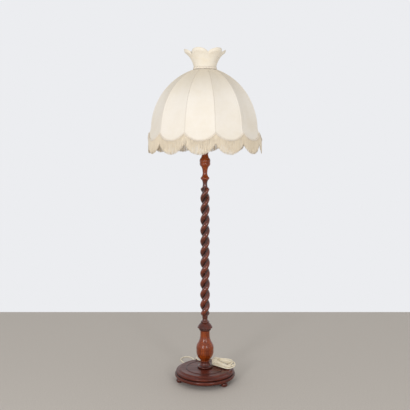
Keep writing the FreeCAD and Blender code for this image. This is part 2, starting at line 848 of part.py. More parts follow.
def make_switch_bar():
    bar = new_body("switch_bar")
    sketch = new_sketch(bar, "bar_outline")
    draw_outline(sketch, [
        ("-bar_length/2-bar_travel/2", BAR_HEIGHT),
        ("bar_length/2-bar_travel/2", BAR_HEIGHT),
        ("bar_length/2-bar_travel/2", f"{BAR_HEIGHT}+bar_radius*0.7", 0.3),
        ("bar_length/2-bar_travel/2-1", f"{BAR_HEIGHT}+bar_radius"),
        ("-bar_length/2-bar_travel/2+1", f"{BAR_HEIGHT}+bar_radius", 0.3),
        ("-bar_length/2-bar_travel/2", f"{BAR_HEIGHT}+bar_radius*0.7"),
    ])
    turning = bar.newObject("PartDesign::Revolution", "bar_turning")
    turning.Profile = sketch
    turning.ReferenceAxis = (sketch, ["Edge1"])
    turning.Angle = FULL_TURN


def make_shade_ring():
    foot = f"{FLANGE_TOP}+carrier_plate_thickness+glue_gap*2"
    turned_piece("shade_ring", [
        ("holder_radius+glue_gap", foot),
        ("shade_ring_radius", foot),
        ("shade_ring_radius", f"{foot}+shade_ring_height-1.5"),
        ("shade_ring_radius-1.5", f"{foot}+shade_ring_height"),
        ("holder_radius+glue_gap", f"{foot}+shade_ring_height"),
    ])


def make_bulb():
    cap = new_body("bulb_cap")
    wall = "bulb_cap_radius-bulb_cap_wall"
    revolve(cap, [
        (0, BULB_FOOT),
        ("bulb_cap_radius-1", BULB_FOOT),
        ("bulb_cap_radius", f"{BULB_FOOT}+1"),
        ("bulb_cap_radius", f"{BULB_FOOT}+bulb_cap_height"),
        (wall, f"{BULB_FOOT}+bulb_cap_height"),
        (wall, f"{BULB_FOOT}+bulb_cap_base"),
        (0, f"{BULB_FOOT}+bulb_cap_base"),
    ])
    pins = new_sketch(cap, "bayonet_pins")
    draw_circle(pins, 0, f"{BULB_FOOT}+bulb_pin_height", "bulb_pin_radius")
    extrude(cap, pins, "bulb_pin_span", midplane=True)

    rise = f"{BULB_FOOT}+bulb_cap_height"
    middle = f"{BULB_FOOT}+bulb_length-bulb_radius"
    inner = "(bulb_radius-bulb_wall)"
    turned_piece("bulb_glass", [
        ("bulb_neck_radius-bulb_wall", f"{BULB_FOOT}+bulb_cap_base+2"),
        ("bulb_neck_radius", f"{BULB_FOOT}+bulb_cap_base+2"),
        ("bulb_neck_radius", f"{rise}+1", -0.08),
        ("bulb_radius*cos(34 deg)", f"{middle}-bulb_radius*sin(34 deg)", "tan(31 deg)"),
        (0, f"{middle}+bulb_radius"),
        (0, f"{middle}+{inner}", "-tan(31 deg)"),
        (f"{inner}*cos(34 deg)", f"{middle}-{inner}*sin(34 deg)", 0.08),
        ("bulb_neck_radius-bulb_wall", f"{rise}+1"),
    ])


# ---------------------------------------------------------------- shade carrier


CARRIER_FOOT = f"{FLANGE_TOP}+glue_gap"
CARRIER_TOP = f"{CARRIER_FOOT}+carrier_height"


def make_carrier():
    turned_piece("carrier_plate", [
        ("holder_radius+rest_gap", CARRIER_FOOT),
        ("carrier_plate_radius", CARRIER_FOOT),
        ("carrier_plate_radius", f"{CARRIER_FOOT}+carrier_plate_thickness"),
        ("holder_radius+rest_gap", f"{CARRIER_FOOT}+carrier_plate_thickness"),
    ])
    low = size(f"{CARRIER_FOOT}+carrier_plate_thickness+glue_gap")
    bend = low + size("carrier_straight")
    path, _ = rounded_path([
        Vector(size("carrier_foot_radius"), 0, low),
        Vector(size("carrier_foot_radius"), 0, bend),
        Vector(size("carrier_ring_radius"), 0, bend + size("carrier_splay")),
        Vector(size("carrier_ring_radius"), 0, size(f"{CARRIER_TOP}-carrier_ring_wire_radius*2-glue_gap")),
    ])
    wire = swept(path, faceted(size("carrier_wire_radius"), WIRE_SIDES))
    group("carrier_wires", turned_copies(wire, size("carrier_wire_count"), 45))
    ring = new_body("carrier_ring")
    sketch = new_sketch(ring, "carrier_ring_section")
    draw_circle(sketch, "carrier_ring_radius", f"{CARRIER_TOP}-carrier_ring_wire_radius", "carrier_ring_wire_radius")
    turning = ring.newObject("PartDesign::Revolution", "carrier_ring_turning")
    turning.Profile = sketch
    turning.ReferenceAxis = (sketch, ["V_Axis"])
    turning.Angle = FULL_TURN


# ---------------------------------------------------------------- shade frame


SEAT = f"{CARRIER_TOP}+rest_gap"


def make_seat_plate():
    """The shade's own fitting ring: a flat flange with a lip that drops inside the carrier's ring."""
    turned_piece("seat_plate", [
        ("seat_plate_inner", f"{SEAT}-seat_lip_depth"),
        ("seat_plate_inner+seat_plate_thickness", f"{SEAT}-seat_lip_depth"),
        ("seat_plate_inner+seat_plate_thickness", SEAT),
        ("seat_plate_outer", SEAT),
        ("seat_plate_outer", f"{SEAT}+seat_plate_thickness"),
        ("seat_plate_inner", f"{SEAT}+seat_plate_thickness"),
    ])
    arms = new_body("seat_arms")
    sketch = new_sketch(arms, "seat_arm_section", "XY_Plane")
    foot = f"{SEAT}+seat_plate_thickness+glue_gap"
    draw_circle(sketch, "neck_radius", 0, "wire_radius")
    sketch.AttachmentOffset = Placement(Vector(0, 0, size(foot)), Rotation())
    sketch.setExpression("AttachmentOffset.Base.z", linked(foot))
    arm = extrude(arms, sketch, f"neck_height-wire_radius-glue_gap-({foot})")
    repeat_round(arms, [arm], "seat_arm_count")
    face_sideways(arms, "rib_angle")

    ring = new_body("neck_ring")
    section = new_sketch(ring, "neck_ring_section")
    draw_circle(section, "neck_radius", "neck_height", "wire_radius")
    turning = ring.newObject("PartDesign::Revolution", "neck_ring_turning")
    turning.Profile = section
    turning.ReferenceAxis = (section, ["V_Axis"])
    turning.Angle = FULL_TURN


def upright(radius, height):
    """A point in the upright plane through the front."""
    return Vector(radius, 0, height)


def bowed_upright(start, end, bulge):
    """An arc in the upright plane; a positive bulge bows it to the right of its way."""
    run = end - start
    middle = (start + end) / 2 + Vector(run.z, 0, -run.x) * (bulge / 2)
    return Part.Arc(start, middle, end).toShape()


def make_ribs():
    start = upright(size("neck_radius+wire_radius*2"), size("neck_height-0.5"))
    wall = upright(size("wall_radius"), size("wall_height"))
    rim = upright(size("rim_radius"), size("rim_height"))
    path = Part.Wire([bowed_upright(start, wall, -size("dome_bulge")), bowed_upright(wall, rim, size("flare_bulge"))])
    rib = swept(path, faceted(size("wire_radius"), WIRE_SIDES))
    group("shade_ribs", turned_copies(rib, size("rib_count"), size("rib_angle") - 90))


def scallop_arc():
    """One scallop of the rim, from rib to rib through its low point, centred on +X."""
    half = math.pi / size("rib_count")
    flat = size("rim_radius") * math.cos(half)
    side = size("rim_radius") * math.sin(half) - size("wire_radius") * 1.6
    return Part.Arc(
        Vector(flat, -side, size("rim_height")),
        Vector(flat + size("scallop_flare"), 0, size("rim_height-scallop_drop")),
        Vector(flat, side, size("rim_height")),
    )


def make_rim_wire():
    wire = swept(Part.Wire(scallop_arc().toShape()), faceted(size("wire_radius"), WIRE_SIDES))
    first = size("rib_angle") - 90 + 180 / size("rib_count")
    group("rim_wire", turned_copies(wire, size("rib_count"), first))


def crown_point(turn, outward=0):
    """A point on the crown's flare: turn is the angle swept up from the neck."""
    centre_radius = size("neck_radius-1+crown_curl_radius")
    reach = size("crown_curl_radius") - outward
    height = size("neck_height+wire_radius+rest_gap")
    return upright(
        centre_radius - reach * math.cos(math.radians(turn)), height + reach * math.sin(math.radians(turn))
    )


def make_crown_wires():
    valley = size("crown_valley_turn")
    stay_path = Part.Wire(Part.Arc(crown_point(0), crown_point(valley / 2), crown_point(valley)).toShape())
    stay = swept(stay_path, faceted(size("wire_radius"), WIRE_SIDES))
    group("crown_stays", turned_copies(stay, size("crown_petals"), size("rib_angle") - 90))
    wire = swept(petal_path(), faceted(size("wire_radius"), WIRE_SIDES))
    first = size("rib_angle") - 90 + 180 / size("crown_petals")
    group("crown_rim_wire", turned_copies(wire, size("crown_petals"), first))


PETAL_KNOTS = 7


def petal_path():
    """The wire of one petal, centred on +X: a round arc in plan, laid on the crown's flare."""
    half = math.pi / size("crown_petals")
    centre_radius, curl = size("neck_radius-1+crown_curl_radius"), size("crown_curl_radius")
    valley = crown_point(size("crown_valley_turn")).x
    tip = crown_point(size("crown_tip_turn")).x
    chord, rise = valley * math.sin(half), tip - valley * math.cos(half)
    plan_radius = (chord**2 + rise**2) / (2 * rise)
    plan_centre = tip - plan_radius
    reach = math.atan2(chord, valley * math.cos(half) - plan_centre) - size("wire_radius") * 1.6 / plan_radius

    def place(turn):
        across, along = plan_centre + plan_radius * math.cos(turn), plan_radius * math.sin(turn)
        swept_up = math.degrees(math.acos((centre_radius - math.hypot(across, along)) / curl))
        return Vector(across, along, crown_point(swept_up).z)

    knots = []
    for knot in range(PETAL_KNOTS):
        turn = reach * (2 * knot / (PETAL_KNOTS - 1) - 1)
        ahead = place(turn + STRAIGHT * 100) - place(turn - STRAIGHT * 100)
        knots.append((place(turn), ahead.normalize()))
    return smooth_path(knots)[0]


# ---------------------------------------------------------------- shade cloth


HALF_PANEL = "180 deg/rib_count"


def cut_to_wedge(body, reach):
    """Trim a piece that faces +X to one rib's share of the circle, less half a seam each side."""
    wedge = new_sketch(body, body.Label + "_seams", "XY_Plane")
    side = f"({reach})*tan({HALF_PANEL})-seam_gap/2"
    for hand in ("", "-"):
        draw_outline(wedge, [
            (0, f"{hand}(-seam_gap/2)"),
            (reach, f"{hand}({side})"),
            (reach, f"{hand}({side}+{reach})"),
            (0, f"{hand}({reach})"),
        ])
    extrude(body, wedge, "neck_height*3", "Pocket", midplane=True)


def scallop_cut(body, name, radius, shift, below):
    """Cut away all that lies below, or above, a scallop hung between two ribs at a radius."""
    sketch = new_sketch(body, f"{body.Label}_{name}", "YZ_Plane")
    half = f"({radius})*sin({HALF_PANEL})"
    level = f"rim_height+({shift})"
    far = f"{level}-scallop_drop-fringe_length*3" if below else f"{level}+fringe_length*5"
    draw_outline(sketch, [
        (f"-{half}", level, f"2*scallop_drop/(2*{half})"),
        (half, level),
        (f"{half}*2", level),
        (f"{half}*2", far),
        (f"-{half}*2", far),
        (f"-{half}*2", level),
    ])
    extrude(body, sketch, f"({radius})*3", "Pocket", midplane=True)


def set_between_ribs(label, body):
    """Copies of a piece that faces +X, one for each panel."""
    document.recompute()
    first = size("rib_angle") - 90 + 180 / size("rib_count")
    group(label, turned_copies(body.Shape, size("rib_count"), first))


def make_panels():
    """Twelve flat gores, each bent over the dome between two ribs and scalloped at the rim."""
    panel = document.addObject("PartDesign::Body", "one_panel")
    flat = f"cos({HALF_PANEL})"
    inner = "(wire_radius+rest_gap)*1.1"
    outer = "(wire_radius+rest_gap+cloth_thickness)*1.1"
    low_radius = f"rim_radius*{flat}+scallop_flare*(1+1/scallop_drop)"
    low_height = "rim_height-scallop_drop-1"
    section = new_sketch(panel, "panel_section")
    draw_outline(section, [
        ("panel_top_radius", "neck_height+0.4", "-dome_bulge"),
        (f"wall_radius*{flat}+{inner}", "wall_height", "flare_bulge"),
        (f"rim_radius*{flat}+{inner}", "rim_height"),
        (f"{low_radius}+{inner}", low_height),
        (f"{low_radius}+{outer}", low_height),
        (f"rim_radius*{flat}+{outer}", "rim_height", "-flare_bulge"),
        (f"wall_radius*{flat}+{outer}", "wall_height", "dome_bulge"),
        ("panel_top_radius+0.4", "neck_height+0.4+cloth_thickness"),
    ])
    extrude(panel, section, "rim_radius", midplane=True)
    cut_to_wedge(panel, "rim_radius*1.3")
    scallop_cut(panel, "hem", "rim_radius", 0, below=True)
    set_between_ribs("shade_panels", panel)


def make_scalloped_band(label, inner, thickness, rise, fall):
    """A band hung round the rim in one piece per panel, scalloped above and below."""
    band = document.addObject("PartDesign::Body", f"one_{label}")
    revolve(band, [
        (inner, "rim_height-scallop_drop-fringe_length*2"),
        (f"{inner}+{thickness}", "rim_height-scallop_drop-fringe_length*2"),
        (f"{inner}+{thickness}", "rim_height+fringe_length"),
        (inner, "rim_height+fringe_length"),
    ], "360/rib_count-0.2")
    scallop_cut(band, "top", inner, rise, below=False)
    scallop_cut(band, "foot", inner, f"-({fall})", below=True)
    set_between_ribs(label, band)


def make_rim_trim():
    flat = f"cos({HALF_PANEL})"
    hem = "(wire_radius+rest_gap+cloth_thickness)*1.1"
    fringe_inner = f"(rim_radius*{flat}+scallop_flare+{hem}+rest_gap)"
    make_scalloped_band("fringe", fringe_inner, "fringe_thickness", "fringe_header", "fringe_length")
    gimp_inner = f"({fringe_inner}+fringe_thickness+rest_gap)"
    make_scalloped_band("rim_gimp", gimp_inner, "rim_gimp_thickness", "rim_gimp_width/2", "rim_gimp_width/2")


def crown_corner(turn, outward):
    """Sheet formulas of the same point of the flare that crown_point gives."""
    reach = f"(crown_curl_radius-({outward}))"
    across = f"neck_radius-1+crown_curl_radius-{reach}*cos(({turn})*1 deg)"
    return across, f"neck_height+wire_radius+rest_gap+{reach}*sin(({turn})*1 deg)"


def make_crown_cloth():
    crown = new_body("crown_cloth")
    inside = "wire_radius+rest_gap"
    outside = "wire_radius+rest_gap+cloth_thickness"
    edge = "crown_tip_turn+2"
    bend = f"tan(({edge})*1 deg/4)"
    revolve(crown, [
        (*crown_corner(0, inside), f"-{bend}"),
        crown_corner(edge, inside),
        (*crown_corner(edge, outside), bend),
        crown_corner(0, outside),
    ])
    petals = new_sketch(crown, "petal_edge", "XY_Plane")
    valley = f"({crown_corner('crown_valley_turn', outside)[0]})"
    tip = f"({crown_corner('crown_tip_turn', inside)[0]})"
    share = "(360 deg/crown_petals)"
    bulge = f"2*({tip}-{valley}*cos({share}/2))/(2*{valley}*sin({share}/2))"
    draw_outline(petals, [
        (f"{valley}*cos({share}*{petal})", f"{valley}*sin({share}*{petal})", bulge)
        for petal in range(int(size("crown_petals")))
    ])
    draw_circle(petals, 0, 0, "crown_curl_radius*2")
    extrude(crown, petals, "neck_height*3", "Pocket", midplane=True)
    face_sideways(crown, "rib_angle")
    collar = f"{crown_corner(0, outside)[0]}+rest_gap*3"
    turned_piece("neck_gimp", [
        (collar, "neck_height+cloth_thickness+rest_gap*2+0.4"),
        (f"{collar}+neck_gimp_thickness", "neck_height+cloth_thickness+rest_gap*2+0.4"),
        (f"{collar}+neck_gimp_thickness", "neck_height+neck_gimp_width"),
        (collar, "neck_height+neck_gimp_width"),
    ])


# ---------------------------------------------------------------- flex


def make_inner_flex():
    """The flex inside the lamp, from the foot of the rod to the lampholder, and its two cores."""
    foot = "foot_height+recess_depth-washer_thickness-nut_height-rod_below_nut"
    top = f"{PLATE_TOP}-nipple_below_plate+nipple_length"
    turned_piece("inner_flex", [(0, foot), ("flex_radius", foot), ("flex_radius", top), (0, top)])
    low = size(top) + size("glue_gap")
    high = size(HOLDER_FOOT) + size("rest_gap")
    aside = size("bar_radius+core_radius*2+0.5")
    near = size("core_radius") + size("glue_gap")
    cores = []
    for hand in (-1, 1):
        path, _ = rounded_path([
            Vector(0, hand * near, low),
            Vector(0, hand * near, low + (high - low) * 0.15),
            Vector(0, hand * aside, low + (high - low) * 0.45),
            Vector(0, hand * aside, high),
        ])
        cores.append(swept(path, faceted(size("core_radius"), WIRE_SIDES)))
    group("flex_cores", cores)


def hank_place(along, across, lift):
    """A point of the hank, from its own middle line, on the top of the base."""
    turn = math.radians(size("hank_angle"))
    floor = size("base_top+flex_radius*1.1+rest_gap")
    return Vector(
        size("hank_x") + along * math.cos(turn) - across * math.sin(turn),
        size("hank_y") + along * math.sin(turn) + across * math.cos(turn),
        floor + lift,
    )


KNOTS_PER_LOOP = 6
HANK_SWAY = (-2, 3, -1, 1)


def hank_knots():
    """Knots of the hank from the plug outwards: nested loops that spiral out and in again, a layer at a time."""
    per_layer, layers = int(size("hank_loops_per_layer")), int(size("hank_layers"))
    tied, opened = size("hank_tied_place"), size("hank_open_place")
    knots = [(hank_place(size("plug_place-plug_nose"), 0, 0), (-1, 0))]
    for index in range(-2, per_layer * layers * KNOTS_PER_LOOP - 1):
        turns = (index - 0.5) / KNOTS_PER_LOOP
        layer = min(max(math.floor(turns / per_layer), 0), layers - 1)
        within = abs((turns + per_layer) % (2 * per_layer) - per_layer) if turns > 0 else turns
        spread = size("hank_step") * within
        narrow, wide = size("hank_tied_half_width") + spread, size("hank_open_half_width") + spread
        sway = HANK_SWAY[layer % len(HANK_SWAY)]
        (along, across), heading = [
            ((tied, narrow), (1, 0)),
            ((opened, wide + sway), (1, 0)),
            ((opened + wide - sway, sway), (0, -1)),
            ((opened, sway - wide), (-1, 0)),
            ((tied, -narrow), (-1, 0)),
            ((tied - narrow, 0), (0, 1)),
        ][index % KNOTS_PER_LOOP]
        if index == per_layer * layers * KNOTS_PER_LOOP - 2:
            layer = layers
        knots.append((hank_place(along, across, layer * size("hank_layer_height")), heading))
    turn = Rotation(UP, size("hank_angle"))
    return [(place, turn.multVec(Vector(*heading, 0))) for place, heading in knots]


def least_gap(path, radius, skip):
    """Least gap between stretches of a tube that lie more than skip apart along it."""
    points = path.discretize(Distance=radius)
    apart = int(skip / radius)
    return min(
        (points[near] - points[far]).Length - 2 * radius
        for near in range(len(points))
        for far in range(near + apart, len(points))
    )


def make_cord():
    """The free flex: under the base, a loop on the floor behind it, up onto the base and into the hank."""
    radius = size("flex_radius")
    knots = hank_knots()
    path, radii = smooth_path(knots)
    hank = swept(path, faceted(radius, WIRE_SIDES))
    group("cord_hank", [hank])
    print("hank", round(path.Length), "tightest", round(min(radii), 1), "gap", round(least_gap(path, radius, 30), 2))

    end, heading = knots[-1]
    foot = size("foot_height+recess_depth-washer_thickness-nut_height-rod_below_nut")
    floor = radius + 0.2
    route = [
        Vector(0, 0, foot),
        Vector(0, 0, foot - 12),
        Vector(-4, 8, foot - 21),
        Vector(-14, 25, floor),
        Vector(-28, 55, floor),
        Vector(-38, 96, floor),
        Vector(-54, 140, floor),
        Vector(-79, 182, floor),
        Vector(-106, 222, floor),
        Vector(-128, 256, floor),
        Vector(-138, 290, floor),
        Vector(-130, 320, floor),
        Vector(-106, 337, floor),
        Vector(-80, 326, floor),
        Vector(-66, 300, floor),
        Vector(-58, 268, floor),
        Vector(-54, 232, floor),
        Vector(-51, 204, floor),
        Vector(-50, 184, 9),
        Vector(-49, 169, 27),
        Vector(-49, 158, 49),
        Vector(-48, 145, 68),
        Vector(-46, 124, 74.5),
        Vector(-41, 104, 70),
        Vector(-24, 91, 69.2),
        Vector(-5, 84, 69.6),
        Vector(11, 76, 73),
        Vector(21, 65, 81),
        Vector(25, 51, 90),
        Vector(29, 36, 96),
        end + heading * 14,
        end,
    ]
    path, radii = rounded_path(route)
    cord = swept(path, faceted(radius, WIRE_SIDES))
    group("cord_run", [cord])
    expected = math.pi * radius**2 * path.Length
    print("run", round(path.Length), "radii", [round(value) for value in radii], "volume", round(cord.Volume / expected, 3))


def make_plug():
    plug = new_body("plug")
    block = new_sketch(plug, "plug_block", "XY_Plane")
    near, far = "plug_place", "plug_place+plug_length"
    draw_outline(block, [
        (near, "-plug_width/2+4"),
        (f"{near}+4", "-plug_width/2"),
        (far, "-plug_width/2"),
        (far, "plug_width/2"),
        (f"{near}+4", "plug_width/2"),
        (near, "plug_width/2-4"),
    ])
    pad = extrude(plug, block, "plug_height")
    document.recompute()
    rounding = plug.newObject("PartDesign::Fillet", "plug_rounding")
    rounding.Base = (pad, ["Face7", "Face8"])
    rounding.Radius = 2.5
    document.recompute()
    nose = new_sketch(plug, "plug_nose", "YZ_Plane")
    middle = "flex_radius*1.1"
    draw_circle(nose, 0, middle, "flex_radius+glue_gap")
    nose.AttachmentOffset = Placement(Vector(0, 0, size("plug_place-plug_nose")), Rotation())
    nose.setExpression("AttachmentOffset.Base.z", linked("plug_place-plug_nose"))
    extrude(plug, nose, "plug_nose+2")
    stand = Placement(hank_place(0, 0, 0), Rotation(UP, size("hank_angle")))
    stand.Base.z = size("base_top+rest_gap")
    plug.Placement = stand

    pins = new_body("plug_pins")
    face = new_sketch(pins, "pin_section", "YZ_Plane")
    height = "plug_height/2"
    for hand in ("-", ""):
        centre = f"({hand}pin_spacing/2)"
        draw_outline(face, [
            (f"{centre}-pin_thickness/2", f"{height}-pin_width/2"),
            (f"{centre}+pin_thickness/2", f"{height}-pin_width/2"),
            (f"{centre}+pin_thickness/2", f"{height}+pin_width/2"),
            (f"{centre}-pin_thickness/2", f"{height}+pin_width/2"),
        ])
    face.AttachmentOffset = Placement(Vector(0, 0, size("plug_place+plug_length")), Rotation())
    face.setExpression("AttachmentOffset.Base.z", linked("plug_place+plug_length"))
    extrude(pins, face, "pin_length")
    pins.Placement = stand


def build():
    make_base()
    make_feet()
    make_clamp_rod()
    make_bell_foot()
    make_baluster()
    make_collar()
    make_column()
    make_top_vase()
    make_plate()
    make_nipple()
    make_holder_cap()
    make_holder_body()
    make_contacts()
    make_switch_bar()
    make_shade_ring()
    make_bulb()
    make_carrier()
    make_seat_plate()
    make_ribs()
    make_rim_wire()
    make_crown_wires()
    make_panels()
    make_rim_trim()
    make_crown_cloth()
    make_inner_flex()
    make_cord()
    make_plug()


def check_and_write():
    document.recompute()
    faults = [item.Label for item in document.Objects if {"Invalid", "Error"} & set(item.State)]
    faults += [node.Label for node in NODES if node.Shape.isNull() or not node.Shape.isValid()]
    if faults:
        raise RuntimeError("failed: " + ", ".join(faults))
    os.makedirs("parts", exist_ok=True)
    for node in NODES:
        node.Shape.exportStep(f"parts/{node.Label}.step")


build()
check_and_write()
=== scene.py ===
import math
import random

import bpy
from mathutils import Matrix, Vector, noise


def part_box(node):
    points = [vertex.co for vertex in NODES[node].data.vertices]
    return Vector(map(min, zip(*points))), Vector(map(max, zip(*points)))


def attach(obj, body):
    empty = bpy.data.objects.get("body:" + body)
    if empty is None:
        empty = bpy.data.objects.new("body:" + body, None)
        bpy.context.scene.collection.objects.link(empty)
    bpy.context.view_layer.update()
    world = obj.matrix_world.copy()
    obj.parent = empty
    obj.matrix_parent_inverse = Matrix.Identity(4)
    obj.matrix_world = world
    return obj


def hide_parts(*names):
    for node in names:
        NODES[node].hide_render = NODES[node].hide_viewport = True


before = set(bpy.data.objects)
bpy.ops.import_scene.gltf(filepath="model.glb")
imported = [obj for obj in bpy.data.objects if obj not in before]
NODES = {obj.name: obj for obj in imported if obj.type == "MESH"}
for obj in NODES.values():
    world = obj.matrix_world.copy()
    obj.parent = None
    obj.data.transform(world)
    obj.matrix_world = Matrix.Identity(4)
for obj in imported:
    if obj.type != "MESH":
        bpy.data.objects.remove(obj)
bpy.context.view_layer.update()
MM = 0.001
random.seed(11)


def spread(low, high, share):
    """The number a share of the way from low to high."""
    return low + (high - low) * share


def eased(low, high, value):
    """0 below low, 1 above high, smooth between."""
    share = min(max((value - low) / (high - low), 0), 1)
    return share * share * (3 - 2 * share)


def compass(radius, degrees, height):
    """A point in millimetres: an angle from the front (-Y) towards +X."""
    turn = math.radians(degrees)
    return Vector((radius * math.sin(turn), -radius * math.cos(turn), height))


# ---------------------------------------------------------------- camera


PHOTO_SIZE = 410
FOCAL_PIXELS = 650
SENSOR = 36
CAMERA_PLACE = (0, -3.25, 1.268)
CAMERA_PITCH = 6.3


def add_camera():
    data = bpy.data.cameras.new("camera")
    data.sensor_width = SENSOR
    data.lens = SENSOR * FOCAL_PIXELS / PHOTO_SIZE
    camera = bpy.data.objects.new("camera", data)
    camera.location = CAMERA_PLACE
    camera.rotation_euler = (math.radians(90 - CAMERA_PITCH), 0, 0)
    bpy.context.scene.collection.objects.link(camera)
    bpy.context.scene.camera = camera


# ---------------------------------------------------------------- making pieces


def dress(piece, body, material, stands_for=()):
    """Link a new piece, give it its material, and put it on its body."""
    bpy.context.scene.collection.objects.link(piece)
    piece.data.materials.append(material)
    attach(piece, body)
    if stands_for:
        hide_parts(*stands_for)
    return piece


def mesh_object(name, corners, faces, uvs=None, tints=None):
    """A smooth-shaded mesh from corners in millimetres, with optional UVs and tints per corner."""
    mesh = bpy.data.meshes.new(name)
    mesh.from_pydata([Vector(corner) * MM for corner in corners], [], faces)
    mesh.shade_smooth()
    if uvs:
        layer = mesh.uv_layers.new(name="UVMap")
        for loop in mesh.loops:
            layer.data[loop.index].uv = uvs[loop.vertex_index]
    if tints:
        layer = mesh.color_attributes.new("tint", "FLOAT_COLOR", "POINT")
        for index, tint in enumerate(tints):
            layer.data[index].color = (tint, tint, tint, 1)
    mesh.validate()
    mesh.update()
    return bpy.data.objects.new(name, mesh)


# How upright a thread runs before its section is set square to the lamp's axis instead of to the upright.
STEEP = 0.8


class Threads:
    """Collects many thin tubes into one mesh."""

    def __init__(self):
        self.corners, self.faces, self.tints, self.uvs = [], [], [], []

    def add(self, line, radii, sides, tint=1.0, closed=False):
        """A tube along a line of points, with a radius for each point."""
        first = len(self.corners)
        count = len(line)
        run = 0.0
        for index, (place, radius) in enumerate(zip(line, radii)):
            before = line[index - 1] if index or closed else line[0]
            after = line[(index + 1) % count] if index < count - 1 or closed else line[-1]
            ahead = (after - before).normalized()
            if index:
                run += (place - line[index - 1]).length
            upright = abs(ahead.z) >= STEEP
            reference = Vector((place.x, place.y, 0)).normalized() if upright else Vector((0, 0, 1))
            side = ahead.cross(reference).normalized()
            over = side.cross(ahead)
            for corner in range(sides):
                angle = 2 * math.pi * (corner / sides)
                self.corners.append(place + (side * math.cos(angle) + over * math.sin(angle)) * radius)
                self.tints.append(tint)
                self.uvs.append((corner / sides, run * MM))
        rings = count if closed else count - 1
        for ring in range(rings):
            low, high = first + ring * sides, first + (ring + 1) % count * sides
            for corner in range(sides):
                beside = (corner + 1) % sides
                self.faces.append((low + corner, low + beside, high + beside, high + corner))
        if not closed:
            self.faces.append(tuple(first + corner for corner in reversed(range(sides))))
            self.faces.append(tuple(first + (count - 1) * sides + corner for corner in range(sides)))

    def piece(self, name):
        return mesh_object(name, self.corners, self.faces, self.uvs, self.tints)


# ---------------------------------------------------------------- materials


def srgb(red, green, blue):
    """A colour as it is seen, 0 to 255, as Blender's linear colour."""
    seen = (red, green, blue)
    linear = [(c / 255 / 12.92) if c <= 10 else ((c / 255 + 0.055) / 1.055) ** 2.4 for c in seen]
    return (*linear, 1)


def darker(colour, share):
    """The same colour with only a share of its light."""
    return tuple(channel * share for channel in colour[:3]) + (1,)


def feed(tree, socket, value):
    """Link a socket to another node's output, or set its own number or colour."""
    if isinstance(value, bpy.types.NodeSocket):
        tree.links.new(value, socket)
    else:
        socket.default_value = value


def add(tree, kind, sockets=None, **settings):
    """A shader node with its settings, and its sockets set or linked."""
    node = tree.nodes.new("ShaderNode" + kind)
    for key, value in settings.items():
        setattr(node, key, value)
    for key, value in (sockets or {}).items():
        feed(tree, node.inputs[key], value)
    return node


def new_material(name, **sockets):
    """A material with one Principled shader, whose uniform numbers are set on it directly."""
    material = bpy.data.materials.new(name)
    material.use_nodes = True
    tree = material.node_tree
    shader = tree.nodes["Principled BSDF"]
    for key, value in sockets.items():
        shader.inputs[key.replace("_", " ").title().replace("Ior", "IOR")].default_value = value
    return material, tree, shader


def place_in(tree, scale=(1, 1, 1), source="Object"):
    """Scaled coordinates: the object's own in metres, or its UVs."""
    coordinates = add(tree, "TexCoord").outputs[source]
    return add(tree, "Mapping", {"Vector": coordinates, "Scale": scale}).outputs["Vector"]


def speckle(tree, vector, scale, detail=4, roughness=0.55, distortion=0.0):
    """Noise, 0 to 1."""
    return add(tree, "TexNoise", {
        "Vector": vector, "Scale": scale, "Detail": detail, "Roughness": roughness, "Distortion": distortion,
    }).outputs["Fac"]


def ramp(tree, factor, *stops):
    """A colour ramp of (place, colour) stops."""
    node = add(tree, "ValToRGB", {"Fac": factor})
    band = node.color_ramp
    while len(band.elements) < len(stops):
        band.elements.new(0.5)
    for element, (place, colour) in zip(band.elements, stops):
        element.position, element.color = place, colour
    return node.outputs["Color"]


def level(tree, value, low, high, to_low=0.0, to_high=1.0):
    """A value between low and high, eased to between two others."""
    return add(tree, "MapRange", {
        "Value": value, "From Min": low, "From Max": high, "To Min": to_low, "To Max": to_high,
    }, interpolation_type="SMOOTHSTEP").outputs["Result"]


def blend(tree, factor, first, second, kind="MIX"):
    """Two colours mixed; the mix node has its colour sockets at 6, 7 and 2."""
    node = add(tree, "Mix", data_type="RGBA", blend_type=kind)
    for number, value in ((0, factor), (6, first), (7, second)):
        feed(tree, node.inputs[number], value)
    return node.outputs[2]


def sums(tree, operation, first, second=0.0):
    """One step of arithmetic on one or two values."""
    node = add(tree, "Math", operation=operation)
    for socket, value in zip(node.inputs, (first, second)):
        feed(tree, socket, value)
    return node.outputs["Value"]


def from_axis(tree):
    """Distance from the lamp's axis, and height, in metres."""
    apart = add(tree, "SeparateXYZ", {"Vector": add(tree, "TexCoord").outputs["Object"]})
    across = sums(tree, "MULTIPLY", apart.outputs["X"], apart.outputs["X"])
    along = sums(tree, "MULTIPLY", apart.outputs["Y"], apart.outputs["Y"])
    return sums(tree, "SQRT", sums(tree, "ADD", across, along)), apart.outputs["Z"]


def bump(tree, shader, height, distance, strength):
    """Give a shader fine relief."""
    node = add(tree, "Bump", {"Height": height, "Distance": distance, "Strength": strength})
    tree.links.new(node.outputs["Normal"], shader.inputs["Normal"])


def band(tree, value, centre, width):
    """1 at a value, falling to 0 at a width to either side."""
    away = sums(tree, "ABSOLUTE", sums(tree, "SUBTRACT", value, centre))
    return level(tree, away, 0, width, 1.0, 0.0)


